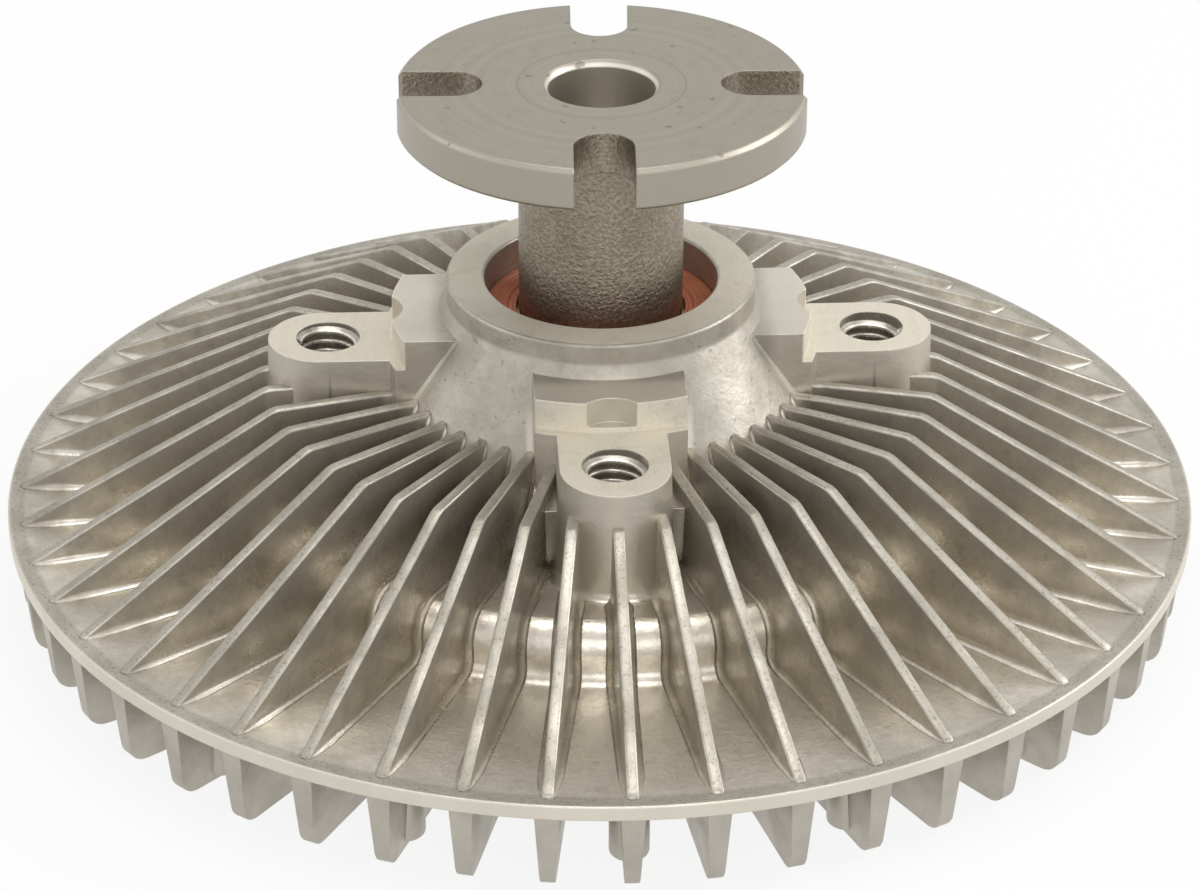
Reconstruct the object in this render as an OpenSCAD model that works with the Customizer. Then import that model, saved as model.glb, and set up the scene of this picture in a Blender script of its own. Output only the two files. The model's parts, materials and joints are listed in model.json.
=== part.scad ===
// Viscous fan clutch, standing on its front fins with the drive flange up.
// The drive shaft turns the grooved rotor inside the finned housing. A thermostatic
// coil on the front turns the valve that lets fluid into the working chamber.
// All lengths are millimetres. Depths are measured down from the flange face.

/* [Flange] */
// Diameter of the mounting flange
flange_d = 60.5; // [57:0.5:63]
// Thickness of the flange
flange_t = 6.3; // [4:0.1:9]
// Chamfer round the flange's upper edge
flange_chamfer = 0.6; // [0.2:0.1:1.2]
// Diameter of the pilot bore
pilot_d = 15.875; // [13:0.125:18]
// Depth of the pilot bore
pilot_depth = 13; // [8:0.5:18]
// Chamfer at the mouth of the pilot bore
pilot_chamfer = 0.8; // [0.2:0.1:1.5]
// Width of the open bolt slots
slot_w = 8.75; // [6:0.25:11]
// Distance of the slots' inner ends from the axis
slot_in = 17.5; // [16:0.25:20]
// Turn of the slots from the fan bosses at rest
slot_turn = -2; // [-45:0.5:45]

/* [Shaft] */
// Diameter of the as-cast neck
neck_d = 24.7; // [22:0.1:27]
// Fillet where the neck meets the flange
neck_fillet = 2; // [0.5:0.1:3]
// Depth of the hub ring's face below the flange face
hub_depth = 31.2; // [28:0.1:36]
// Diameter of the rotor's seat
seat_d = 12; // [10:0.5:13]
// Diameter of the riveted end
rivet_d = 16.4; // [15:0.2:17]
// Height of the riveted end
rivet_h = 1.3; // [0.8:0.1:1.6]

/* [Bearing] */
// Bore of the bearing
bearing_bore = 15; // [14:0.5:16]
// Outer diameter of the bearing
bearing_od = 35; // [34:0.5:36]
// Width of the bearing
bearing_w = 15.9; // [15.5:0.1:18]
// Diameter of the balls
ball_d = 6; // [5:0.1:6.2]
// Balls in each row
balls_per_row = 9; // [7:1:10]
// Distance of the rear seal below the hub ring's face
seal_drop = 5.1; // [3:0.1:7]
// Thickness of the bearing seals
seal_t = 1.2; // [0.8:0.1:2]

/* [Body] */
// Wall of the hub ring round the bearing
hub_wall = 5.8; // [4.5:0.1:7]
// Height of the hub ring's straight band
hub_band = 3.4; // [2:0.1:5]
// Diameter of the hub cone at its foot
cone_foot_d = 75; // [70:0.5:80]
// Depth of the floor between the fins below the bearing
floor_drop = 4.4; // [3.5:0.1:7]
// Thickness of the floor between fins and chamber
floor_t = 3.2; // [2.5:0.1:5]
// Diameter of the shoulder round the working chamber
shoulder_d = 119.2; // [116:0.2:124]
// Rounding of the shoulder
shoulder_round = 4.5; // [2:0.1:5]
// Height of the shoulder above the rim
shoulder_h = 8; // [7:0.1:10]
// Wall of the working chamber
chamber_wall = 3.2; // [2.5:0.1:4]
// Diameter of the rim
rim_d = 181.7; // [175:0.1:190]
// Thickness of the rim
rim_t = 2.3; // [1.8:0.1:3.5]

/* [Upper fins] */
// Number of fins on each side of the rim
fin_count = 48; // [24:12:48]
// Width of a fin along its upper edge
fin_w = 1.7; // [1.2:0.1:2.2]
// Draft on each side of a fin, in degrees
fin_draft = 1.6; // [0.5:0.1:2.5]
// Height of the fins above the floor
fin_h = 11.9; // [9:0.1:13]
// Diameter at which the upper edges start to slope
knee_d = 102.2; // [98:0.2:112]
// Distance of the fins' outer ends from the rim's edge
fin_margin = 2.6; // [1.5:0.1:5]
// Height of the fins' outer ends
fin_end_h = 0.6; // [0.4:0.1:2]
// Broken corner along the crest of a fin
fin_edge = 0.35; // [0.1:0.05:0.5]

/* [Lower fins] */
// Height of the fins below the rim
lower_h = 12.8; // [12:0.1:15]
// Width of a lower fin at its tip
lower_tip_w = 2; // [1.4:0.1:2.6]
// Width of a lower fin at the rim
lower_root_w = 3.4; // [2.6:0.1:4.2]
// Rounding of the lower fins' outer corners
lower_round = 3; // [1:0.1:5]
// Distance of the lower fins' outer ends from the rim's edge
lower_margin = 0.7; // [0.3:0.1:3]
// Slope of the lower fins' outer ends, in degrees
lower_slope = 4; // [2:0.5:12]
// Diameter of the ejector pads on every third fin
pad_d = 5.7; // [4:0.1:7]
// Distance of the ejector pads' ends above the fin tips
pad_short = 0.7; // [0.3:0.1:3]
// Diameter of the circle of ejector pads
pad_circle_d = 161.4; // [150:0.2:166]

/* [Fan bosses] */
// Diameter of the fan's bolt circle
fan_pcd = 82.5; // [80:0.1:86]
// Diameter of the tapped fan holes
fan_hole_d = 9.525; // [8:0.025:10.5]
// Depth of the tapped fan holes
fan_hole_depth = 14; // [8:0.5:15]
// Width of a fan boss
boss_w = 16; // [14:0.2:18]
// Distance of a boss's round end from the axis
boss_reach = 50.3; // [49:0.1:53]
// Depth of the fan pads below the hub ring's face
pad_drop = 9.8; // [8:0.1:11]
// Diameter of the fan's pilot
fan_pilot_d = 63.5; // [62:0.1:65]
// Width of the buttresses that carry the fan's pilot
buttress_w = 22.2; // [19:0.2:25]
// Depth of the buttress tops below the hub ring's face
buttress_drop = 2.4; // [1.5:0.1:3]
// Radius of the clearance round each fan bolt
bolt_clear_r = 10.4; // [9.6:0.1:11]
// Distance from the axis to the front of the webs beside each boss
web_reach = 41; // [39:0.1:43]
// Depth of the webs' tops below the fins' level crests
web_drop = 2.6; // [1:0.1:5]

/* [Working chamber] */
// Number of ridges on the rotor and on the body
land_count = 5; // [3:1:5]
// Distance between ridges
land_pitch = 3.8; // [3.4:0.1:4]
// Width of a ridge
land_w = 1.5; // [1:0.1:1.5]
// Height of a ridge
land_h = 3.4; // [2:0.1:4]
// Gap above and below the rotor
rotor_gap = 0.6; // [0.4:0.1:1]
// Gap between the rotor's edge and the chamber wall
rotor_edge_gap = 1.55; // [1.2:0.05:2]
// Thickness of the rotor's disc
rotor_t = 3; // [2.6:0.1:4]
// Diameter of the rotor's hub
rotor_hub_d = 19; // [18:0.2:19.6]
// Thickness of the separator plate
plate_t = 0.8; // [0.6:0.1:1.2]
// Seat of the separator plate beyond the chamber wall
plate_seat = 1.6; // [1:0.1:2.5]

/* [Cover] */
// Seat of the cover beyond the separator plate
cover_seat = 4; // [3.5:0.1:5]
// Thickness of the cover's edge
cover_edge_t = 3; // [2.5:0.1:3.5]
// Thickness of the cover's wall
cover_t = 2.4; // [2:0.1:2.6]
// Depth of the reservoir
reservoir_h = 3.6; // [3:0.1:4]
// Diameter of the pocket for the coil
pocket_d = 50; // [50:0.5:54]
// Number of fins on the cover
cover_fin_count = 36; // [18:6:36]
// Width of a cover fin
cover_fin_w = 1.8; // [1.2:0.1:2.2]
// Wall of the body round the cover
ring_wall = 3.4; // [2.5:0.1:4.5]
// Thickness of the rolled lip
lip_t = 1.2; // [0.8:0.1:1.6]
// Reach of the rolled lip over the cover
lip_reach = 1.8; // [1:0.1:2.5]

/* [Valve] */
// Diameter of the valve shaft
valve_d = 5; // [4.6:0.1:5.4]
// Wall of the valve bush
bush_wall = 1.5; // [1:0.1:2]
// Reach of the valve arm to the gate hole
arm_reach = 36; // [30:0.5:40]
// Width of the valve arm
arm_w = 7; // [6:0.2:9]
// Thickness of the valve arm
arm_t = 0.8; // [0.6:0.1:0.9]
// Diameter of the gate hole
gate_d = 6; // [4:0.2:8]
// Thickness of the coil's strip
coil_t = 0.9; // [0.6:0.1:1.2]
// Radius of the coil's inner turn
coil_in_r = 5; // [4.8:0.1:6]
// Distance between the coil's turns
coil_pitch = 3; // [2:0.1:3.2]

/* [Clearances] */
// Gap between pieces that turn past each other
run_gap = 0.3; // [0.3:0.05:0.5]
// Play of a shaft or ball in its seat
fit_play = 0.06; // [0.03:0.01:0.1]
// Play of a piece that lies in a recess
seat_play = 0.05; // [0.02:0.01:0.1]

/* [Hidden] */
$fn = 96;

// Amount by which joined features reach into each other
sink = 0.8;
// Small edge break on machined corners
edge = 0.4;

// Depths below the flange face, from the hub ring down to the fin tips
band_depth = hub_depth + hub_band;
seal_top = hub_depth + seal_drop;
bearing_top = seal_top + seal_t;
bearing_bottom = bearing_top + bearing_w;
bearing_mid = bearing_top + bearing_w / 2;
floor_depth = bearing_bottom + floor_drop;
ceiling = floor_depth + floor_t;
rim_depth = floor_depth + shoulder_h;
rim_bottom = rim_depth + rim_t;
stand_h = rim_bottom + lower_h;
fin_top = floor_depth - fin_h;
pad_depth = hub_depth + pad_drop;
rotor_face = ceiling + rotor_gap + land_h;
rotor_bottom = rotor_face + rotor_t;
rivet_top = rotor_bottom - rivet_h - edge / 2;
plate_top = rotor_bottom + rotor_gap;
cover_top = plate_top + plate_t;
lip_top = cover_top + cover_edge_t;
lip_bottom = lip_top + lip_t;
reservoir_bottom = cover_top + reservoir_h;
cover_face = reservoir_bottom + cover_t;
arm_top = cover_top + run_gap + seat_play;
arm_bottom = arm_top + arm_t;
pocket_in = arm_bottom + 2 * run_gap;
pocket_face = pocket_in + cover_t;
cover_hub_h = 1.2;
cover_hub_end = pocket_face + cover_hub_h;
clip_t = 0.5;
clip_top = cover_hub_end + fit_play;
coil_top = clip_top + clip_t + edge;
// Distance by which the cover's fins and the coil stay above the fin tips
tip_clear = 0.3;
coil_bottom = stand_h - tip_clear;

// Radii
flange_r = flange_d / 2;
pilot_r = pilot_d / 2;
neck_r = neck_d / 2;
seat_r = seat_d / 2;
rivet_r = rivet_d / 2;
journal_r = bearing_bore / 2;
bearing_r = bearing_od / 2;
ball_r = ball_d / 2;
pitch_r = (journal_r + bearing_r) / 2;
// Part of the ball's radius at which the races end beside the pitch circle
race_share = 0.72;
race_edge = race_share * ball_r;
row_gap = 1.8;
row_half = ball_r + row_gap / 2;
// Step in the body that stops the bearing
bearing_stop = 2.5;
shoulder_bore_r = bearing_r - bearing_stop;
hub_r = bearing_r + hub_wall;
cone_foot_r = cone_foot_d / 2;
shoulder_r = shoulder_d / 2;
root_fillet = 2.2;
chamber_r = shoulder_r - chamber_wall;
rotor_r = chamber_r - rotor_edge_gap;
rotor_hub_r = rotor_hub_d / 2;
plate_r = chamber_r + plate_seat;
cover_r = plate_r + cover_seat;
ring_r = cover_r + ring_wall;
lip_r = cover_r - lip_reach;
rim_r = rim_d / 2;
knee_r = knee_d / 2;
fin_out = rim_r - fin_margin;
fan_r = fan_pcd / 2;
fan_pilot_r = fan_pilot_d / 2;
reservoir_wall = 2.5;
reservoir_r = plate_r - reservoir_wall;
pocket_r = pocket_d / 2;
valve_r = valve_d / 2;
bush_r = valve_r + fit_play + bush_wall;
cover_hub_wall = 3;
cover_hub_r = bush_r + cover_hub_wall;
// Step between the valve shaft and the pin that carries its arm
pin_r = valve_r - 0.7;
coil_turns = 4.25;
coil_out_r = coil_in_r + coil_pitch * coil_turns;

casting = [0.66, 0.64, 0.60];
iron = [0.52, 0.49, 0.44];
steel = [0.70, 0.70, 0.69];

// Height above the ground of a depth below the flange face
function z(depth) = stand_h - depth;

// Points of an arc in steps, from one angle to another
function arc(x, y, r, from, to, steps = 6) =
    [for (i = [0:steps]) let (a = from + (to - from) * i / steps) [x + r * cos(a), y + r * sin(a)]];

// Copies a shape round the axis
module ring_of(count, start = 0) {
    for (i = [0:count - 1]) rotate([0, 0, start + 360 * i / count]) children();
}

// Turns an outline of radius and height into an upright plate across the X axis
module plate_of(points, width) {
    rotate([90, 0, 0]) linear_extrude(width, center = true) polygon(points);
}

// Ring between two radii and two depths
module tube(inner, outer, top, bottom) {
    rotate_extrude() translate([inner, z(bottom)]) square([outer - inner, bottom - top]);
}

// Shaft

module flange_slot() {
    end_x = slot_in + slot_w / 2;
    translate([end_x, 0, z(flange_t + sink)]) cylinder(d = slot_w, h = flange_t + 2 * sink);
    translate([end_x, -slot_w / 2, z(flange_t + sink)])
        cube([flange_r, slot_w, flange_t + 2 * sink]);
}

module drive_shaft() {
    section = concat(
        [[pilot_r + pilot_chamfer, z(0)],
         [flange_r - flange_chamfer, z(0)],
         [flange_r, z(flange_chamfer)],
         [flange_r, z(flange_t - edge)],
         [flange_r - edge, z(flange_t)]],
        arc(neck_r + neck_fillet, z(flange_t + neck_fillet), neck_fillet, 90, 180),
        [[neck_r, z(bearing_top - edge)],
         [neck_r - edge, z(bearing_top)],
         [journal_r, z(bearing_top)],
         [journal_r, z(bearing_bottom)],
         [seat_r, z(bearing_bottom)],
         [seat_r, z(rivet_top)],
         [rivet_r, z(rivet_top)],
         [rivet_r - edge, z(rivet_top + rivet_h)],
         [0, z(rivet_top + rivet_h)],
         [0, z(pilot_depth + pilot_r / 2)],
         [pilot_r, z(pilot_depth)],
         [pilot_r, z(pilot_chamfer)]]);
    color(iron) difference() {
        rotate_extrude() polygon(section);
        ring_of(4, slot_turn) flange_slot();
    }
}

// Bearing

module ball_track(offset) {
    rotate_extrude() translate([pitch_r, z(bearing_mid + offset)]) circle(r = ball_r + fit_play);
}

module bearing_race(inner, outer) {
    difference() {
        tube(inner, outer, bearing_top, bearing_bottom);
        ball_track(-row_half);
        ball_track(row_half);
    }
}

module bearing_outer_race() color(steel) bearing_race(pitch_r + race_edge, bearing_r);

module bearing_inner_race() color(steel) bearing_race(journal_r, pitch_r - race_edge);

module ball_row(offset, r) {
    ring_of(balls_per_row) translate([pitch_r, 0, z(bearing_mid + offset)]) sphere(r = r);
}

module bearing_balls() color(steel) {
    ball_row(-row_half, ball_r);
    ball_row(row_half, ball_r);
}

// One crown cage, open towards the other row of balls
module crown_cage(side) {
    cage_half = 0.95;
    prong = 1.6;
    web = 0.6;
    back = ball_r + seat_play + web;
    near = bearing_mid + side * (row_half - prong);
    far = bearing_mid + side * (row_half + back);
    difference() {
        tube(pitch_r - cage_half, pitch_r + cage_half, min(near, far), max(near, far));
        ball_row(side * row_half, ball_r + seat_play);
    }
}

module bearing_cages() color([0.80, 0.68, 0.40]) {
    crown_cage(-1);
    crown_cage(1);
}

module rear_bearing_seal() color([0.62, 0.30, 0.20])
    tube(neck_r + run_gap, bearing_r, seal_top, bearing_top);

module front_bearing_seal() color([0.62, 0.30, 0.20])
    tube(rotor_hub_r + run_gap, shoulder_bore_r, bearing_bottom + sink, bearing_bottom + sink + seal_t);

// Body

// Outline of one ridge that stands on a face, from the outer side to the inner side
function ridge(r, root, tip) =
    [[r + land_w / 2, z(root)], [r + land_w / 2, z(tip)], [r - land_w / 2, z(tip)], [r - land_w / 2, z(root)]];

function rotor_ridge_r(i) = rotor_r - land_w / 2 - i * land_pitch;

function body_section() = concat(
    [[bearing_r + edge, z(hub_depth)],
     [hub_r - edge, z(hub_depth)],
     [hub_r, z(hub_depth + edge)],
     [hub_r, z(band_depth)],
     [cone_foot_r, z(floor_depth)]],
    arc(shoulder_r - shoulder_round, z(floor_depth + shoulder_round), shoulder_round, 90, 0),
    arc(shoulder_r + root_fillet, z(rim_depth - root_fillet), root_fillet, 180, 270),
    [[rim_r - edge, z(rim_depth)],
     [rim_r, z(rim_depth + edge)],
     [rim_r, z(rim_bottom - edge)],
     [rim_r - edge, z(rim_bottom)]],
    arc(ring_r + root_fillet, z(rim_bottom + root_fillet), root_fillet, 90, 180),
    [[ring_r, z(lip_bottom - edge)],
     [ring_r - edge, z(lip_bottom)],
     [lip_r + lip_t / 2, z(lip_bottom)],
     [lip_r, z(lip_top)],
     [cover_r + seat_play, z(lip_top)],
     [cover_r + seat_play, z(cover_top)],
     [plate_r + seat_play, z(cover_top)],
     [plate_r + seat_play, z(plate_top)],
     [chamber_r, z(plate_top)],
     [chamber_r, z(ceiling)]],
    [for (i = [0:land_count - 1])
        for (p = ridge(rotor_ridge_r(i) - land_pitch / 2, ceiling, ceiling + land_h)) p],
    [[shoulder_bore_r, z(ceiling)],
     [shoulder_bore_r, z(bearing_bottom)],
     [bearing_r, z(bearing_bottom)],
     [bearing_r, z(hub_depth + edge)]]);

// Bar of tapered section along X, its narrow crest on the ground line, with broken corners
module drafted_bar(tip_w, root_w, depth, length) {
    crest = tip_w / 2 - fin_edge;
    rotate([90, 0, 90]) linear_extrude(length)
        polygon([[-crest, 0], [crest, 0], [tip_w / 2, -fin_edge], [root_w / 2, -depth],
                 [-root_w / 2, -depth], [-tip_w / 2, -fin_edge]]);
}

// Upper fin: a plate whose sides widen with the draft below its bent upper edge
module upper_fin() {
    inner = hub_r;
    reach = 2 * fin_h;
    root_w = fin_w + 2 * reach * tan(fin_draft);
    slope = atan2(rim_depth - fin_end_h - fin_top, fin_out - knee_r);
    outline = [[inner, z(fin_top)],
               [fin_out, z(fin_top)],
               [fin_out, z(rim_depth + sink)],
               [shoulder_r - sink, z(rim_depth + sink)],
               [shoulder_r - sink, z(floor_depth + shoulder_round)],
               [shoulder_r - shoulder_round, z(floor_depth + sink)],
               [inner, z(floor_depth + sink)]];
    intersection() {
        plate_of(outline, root_w);
        translate([0, 0, z(fin_top)]) drafted_bar(fin_w, root_w, reach, rim_r);
        translate([knee_r, 0, z(fin_top)]) rotate([0, slope, 0]) translate([-rim_r, 0, 0])
            drafted_bar(fin_w, root_w, reach, 2 * rim_r);
    }
}

// Lower fin: hangs from the rim, with a sloped outer end and a round corner
module lower_fin() {
    top_x = rim_r - lower_margin;
    end_x = top_x - lower_h * tan(lower_slope);
    inner_x = ring_r + root_fillet;
    outline = concat(
        [[ring_r - sink, z(rim_bottom - sink)],
         [top_x, z(rim_bottom - sink)],
         [top_x, z(rim_bottom)]],
        arc(end_x - lower_round, z(stand_h - lower_round), lower_round, 0, -90),
        [[inner_x + root_fillet, z(stand_h)],
         [inner_x, z(lip_bottom)],
         [ring_r - sink, z(lip_bottom - sink)]]);
    depth = lower_h + sink;
    intersection() {
        plate_of(outline, 2 * lower_root_w);
        translate([0, 0, z(stand_h)]) mirror([0, 0, 1])
            drafted_bar(lower_tip_w, lower_root_w, depth, rim_r);
    }
}

module ejector_pad() {
    translate([pad_circle_d / 2, 0, z(stand_h - pad_short)])
        cylinder(d = pad_d, h = lower_h - pad_short + sink);
}

// Buttress that carries the fan's pilot, cut clear round the fan bolt
module buttress() {
    ledge = 1.3;
    top = hub_depth + buttress_drop;
    nose = 3.4;
    nose_drop = 2;
    section = [[bearing_r + sink, z(top)],
               [fan_pilot_r - nose, z(top)],
               [fan_pilot_r, z(top + nose_drop)],
               [fan_pilot_r, z(pad_depth)],
               [fan_pilot_r + ledge, z(pad_depth)],
               [fan_pilot_r + ledge, z(floor_depth + sink)],
               [bearing_r + sink, z(floor_depth + sink)]];
    difference() {
        intersection() {
            rotate_extrude() polygon(section);
            translate([0, -buttress_w / 2, 0]) cube([rim_r, buttress_w, z(0)]);
        }
        translate([fan_r, 0, z(pad_depth - edge)]) cylinder(r = bolt_clear_r, h = pad_drop);
    }
}

// Fan boss with its round end, and the webs that tie it to the second fins beside it
module fan_boss() {
    boss_x = boss_reach - boss_w / 2;
    base = z(floor_depth + sink);
    translate([0, 0, base]) linear_extrude(z(pad_depth) - base) {
        translate([boss_x, 0]) circle(d = boss_w);
        translate([hub_r, -boss_w / 2]) square([boss_x - hub_r, boss_w]);
    }
    web_angle = 720 / fin_count;
    web_y = web_reach * tan(web_angle);
    hub_y = hub_r * tan(web_angle);
    translate([0, 0, base]) linear_extrude(z(fin_top + web_drop) - base)
        polygon([[hub_r, -hub_y], [web_reach, -web_y], [web_reach, web_y], [hub_r, hub_y]]);
}

module fan_hole() {
    translate([fan_r, 0, z(pad_depth + fan_hole_depth)])
        cylinder(d = fan_hole_d, h = fan_hole_depth + sink);
    translate([fan_r, 0, z(pad_depth + edge)])
        cylinder(d1 = fan_hole_d, d2 = fan_hole_d + 2 * edge, h = 2 * edge);
}

module rear_body() {
    color(casting) difference() {
        union() {
            rotate_extrude() polygon(body_section());
            ring_of(fin_count) upper_fin();
            ring_of(fin_count) lower_fin();
            ring_of(floor(fin_count / 3)) ejector_pad();
            ring_of(4) buttress();
            ring_of(4) fan_boss();
        }
        ring_of(4) fan_hole();
    }
}

// Working chamber

module clutch_rotor() {
    section = concat(
        [[rivet_r + seat_play, z(rotor_bottom)],
         [rotor_r, z(rotor_bottom)]],
        [for (i = [0:land_count - 1])
            for (p = ridge(rotor_ridge_r(i), rotor_face, rotor_face - land_h)) p],
        [[rotor_hub_r, z(rotor_face)],
         [rotor_hub_r, z(bearing_bottom)],
         [seat_r, z(bearing_bottom)],
         [seat_r, z(rivet_top)],
         [rivet_r + seat_play, z(rivet_top)]]);
    color([0.72, 0.71, 0.68]) rotate_extrude() polygon(section);
}

module separator_plate() {
    outlet_inset = 2;
    outlet_x = rotor_r - outlet_inset;
    outlet_d = 2.4;
    color(steel) difference() {
        translate([0, 0, z(cover_top)]) cylinder(r = plate_r, h = plate_t);
        translate([arm_reach, 0, z(cover_top + sink)]) cylinder(d = gate_d, h = plate_t + 2 * sink);
        rotate([0, 0, 90]) translate([outlet_x, 0, z(cover_top + sink)])
            cylinder(d = outlet_d, h = plate_t + 2 * sink);
    }
}

// Wiper beside the outlet hole, standing on the plate in the gap round the rotor
module wiper() {
    wiper_start = 92;
    wiper_angle = 12;
    height = plate_top - ceiling - rotor_gap;
    inner = rotor_r + run_gap;
    color([0.20, 0.20, 0.21]) rotate([0, 0, wiper_start]) rotate_extrude(angle = wiper_angle)
        translate([inner, z(plate_top)]) square([chamber_r - seat_play - inner, height]);
}

// Cover

seal_w = 1.8;
seal_h = 1.4;
groove_in = plate_r + (cover_seat - seal_w) / 2;

module cover_seal() color([0.12, 0.12, 0.12])
    tube(groove_in + seat_play, groove_in + seal_w - seat_play, cover_top, cover_top + seal_h);

// Lean of the pocket's wall, and the slope from the cover's edge to its face
pocket_lean = 1;
skirt_out = lip_r - 1;
skirt_in = lip_r - 2.5;

function cover_section() = [
    [bush_r, z(pocket_in)],
    [pocket_r - pocket_lean, z(pocket_in)],
    [pocket_r + pocket_lean, z(reservoir_bottom)],
    [reservoir_r - pocket_lean, z(reservoir_bottom)],
    [reservoir_r, z(reservoir_bottom - pocket_lean)],
    [reservoir_r, z(cover_top)],
    [groove_in, z(cover_top)],
    [groove_in, z(cover_top + seal_h)],
    [groove_in + seal_w, z(cover_top + seal_h)],
    [groove_in + seal_w, z(cover_top)],
    [cover_r, z(cover_top)],
    [cover_r, z(lip_top)],
    [skirt_out, z(lip_top)],
    [skirt_in, z(cover_face)],
    [pocket_r + pocket_lean, z(cover_face)],
    [pocket_r, z(pocket_face)],
    [cover_hub_r, z(pocket_face)],
    [cover_hub_r, z(cover_hub_end)],
    [bush_r, z(cover_hub_end)]];

module cover_fin() {
    inner = pocket_r + 2 * pocket_lean;
    outer = skirt_in - edge;
    inner_lean = 1;
    outer_lean = 2;
    tip = stand_h - tip_clear;
    plate_of([[inner, z(cover_face - sink)],
              [inner + inner_lean, z(tip)],
              [outer - outer_lean, z(tip)],
              [outer, z(cover_face + edge)],
              [outer, z(cover_face - sink)]], cover_fin_w);
}

plug_r = 2.1;
plug_x = 40;
plug_angle = 180 + 180 / cover_fin_count;

module front_cover() {
    color(casting) difference() {
        union() {
            rotate_extrude() polygon(cover_section());
            ring_of(cover_fin_count) cover_fin();
        }
        rotate([0, 0, plug_angle]) translate([plug_x, 0, z(cover_face + sink)])
            cylinder(r = plug_r, h = cover_t + 2 * sink);
        screw_places() translate([0, 0, z(pocket_face + sink)])
            cylinder(r = screw_r, h = screw_depth + sink);
    }
}

module fill_plug() color(steel) rotate([0, 0, plug_angle])
    translate([plug_x, 0, z(cover_face)]) cylinder(r = plug_r, h = cover_t);

// Valve

module valve_bush() color([0.72, 0.55, 0.30])
    tube(valve_r + fit_play, bush_r, pocket_in, cover_hub_end);

groove_depth = 1;
ring_mid = (pocket_in + cover_hub_end) / 2;
ring_minor = 0.48;

module valve_shaft() {
    groove_r = valve_r - groove_depth;
    clip_r = valve_r - edge;
    groove_half = ring_minor + seat_play;
    section = [[0, z(arm_top)],
               [pin_r, z(arm_top)],
               [pin_r, z(arm_bottom)],
               [valve_r, z(arm_bottom)],
               [valve_r, z(ring_mid - groove_half)],
               [groove_r, z(ring_mid - groove_half)],
               [groove_r, z(ring_mid + groove_half)],
               [valve_r, z(ring_mid + groove_half)],
               [valve_r, z(clip_top)],
               [clip_r, z(clip_top)],
               [clip_r, z(clip_top + clip_t)],
               [valve_r, z(clip_top + clip_t)],
               [valve_r, z(coil_bottom - edge)],
               [valve_r - edge, z(coil_bottom)],
               [0, z(coil_bottom)]];
    slot_gap = coil_t + 2 * fit_play;
    color(steel) difference() {
        rotate_extrude() polygon(section);
        translate([-valve_d, -slot_gap / 2, z(coil_bottom + sink)])
            cube([2 * valve_d, slot_gap, coil_bottom - coil_top + sink + seat_play]);
    }
}

module valve_shaft_seal() color([0.12, 0.12, 0.12])
    rotate_extrude() translate([valve_r - ring_minor - seat_play / 2, z(ring_mid)]) circle(r = ring_minor);

module valve_clip() {
    clip_overlap = 0.2;
    clip_out = bush_r + clip_overlap;
    mouth = 3;
    color(steel) difference() {
        tube(valve_r - edge, clip_out, clip_top, clip_top + clip_t);
        translate([0, -mouth / 2, z(coil_top)]) cube([2 * clip_out, mouth, 2 * clip_t + edge]);
    }
}

module valve_arm() {
    eye_wall = 1;
    eye_r = arm_w / 2 + eye_wall;
    gate_lap = 2;
    pad_lap = 0.5;
    color(steel) translate([0, 0, z(arm_bottom)]) difference() {
        linear_extrude(arm_t) {
            circle(r = eye_r);
            translate([0, -arm_w / 2]) square([arm_reach, arm_w]);
            translate([arm_reach, 0]) circle(r = max(gate_d / 2 + gate_lap, arm_w / 2 + pad_lap));
        }
        translate([0, 0, -sink]) cylinder(r = pin_r, h = arm_t + 2 * sink);
    }
}

// Thermostatic coil: a spiral strip with a tab in the shaft's slot and a tab in the bracket

coil_tab = 4;
tab_end = coil_out_r + coil_tab;
spiral_step = 15;

function spiral(offset) = [for (a = [0:spiral_step:360 * coil_turns])
    let (r = coil_in_r + coil_pitch * a / 360 + offset) [r * cos(a), r * sin(a)]];

function backwards(points) = [for (i = [len(points) - 1:-1:0]) points[i]];

module bimetal_coil() {
    height = coil_bottom - coil_top;
    color([0.60, 0.50, 0.32]) translate([0, 0, z(coil_bottom)]) {
        linear_extrude(height) polygon(concat(spiral(coil_t / 2), backwards(spiral(-coil_t / 2))));
        translate([-valve_r, -coil_t / 2, 0]) cube([coil_in_r + valve_r, coil_t, height]);
        translate([-coil_t / 2, coil_out_r - coil_t / 2, 0]) cube([coil_t, tab_end - coil_out_r, height]);
    }
}

// Bracket: a foot on the cover with two fingers beside the coil's outer tab

foot_t = 1.2;
foot_w = 14;
coil_room = 1.4;
foot_in = coil_out_r + coil_room;
// The foot's outer corners stay inside the pocket's round wall
foot_out = sqrt(pocket_r * pocket_r - foot_w * foot_w / 4) - edge;
screw_r = 1.2;
screw_skin = 0.6;
screw_depth = cover_t - screw_skin;
screw_inset = 2.6;
screw_x = foot_w / 2 - screw_inset;

module screw_places() {
    for (side = [-1, 1]) translate([side * screw_x, (foot_in + foot_out) / 2, 0]) children();
}

module coil_bracket() {
    finger = 1.2;
    finger_in = coil_t / 2 + seat_play;
    color(steel) difference() {
        union() {
            translate([-foot_w / 2, foot_in, z(pocket_face + foot_t)])
                cube([foot_w, foot_out - foot_in, foot_t]);
            for (side = [0, 1]) mirror([side, 0, 0]) translate([finger_in, foot_in, z(coil_bottom)])
                cube([finger, tab_end - foot_in, coil_bottom - pocket_face]);
        }
        screw_places() translate([0, 0, z(pocket_face + foot_t + sink)])
            cylinder(r = screw_r + seat_play, h = foot_t + 2 * sink);
    }
}

module bracket_screws() color(steel) {
    head_r = 2.2;
    head_h = 1.4;
    screw_places() {
        translate([0, 0, z(pocket_face + foot_t)]) cylinder(r = screw_r, h = foot_t + screw_depth);
        translate([0, 0, z(pocket_face + foot_t + head_h)]) cylinder(r = head_r, h = head_h);
    }
}

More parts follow.
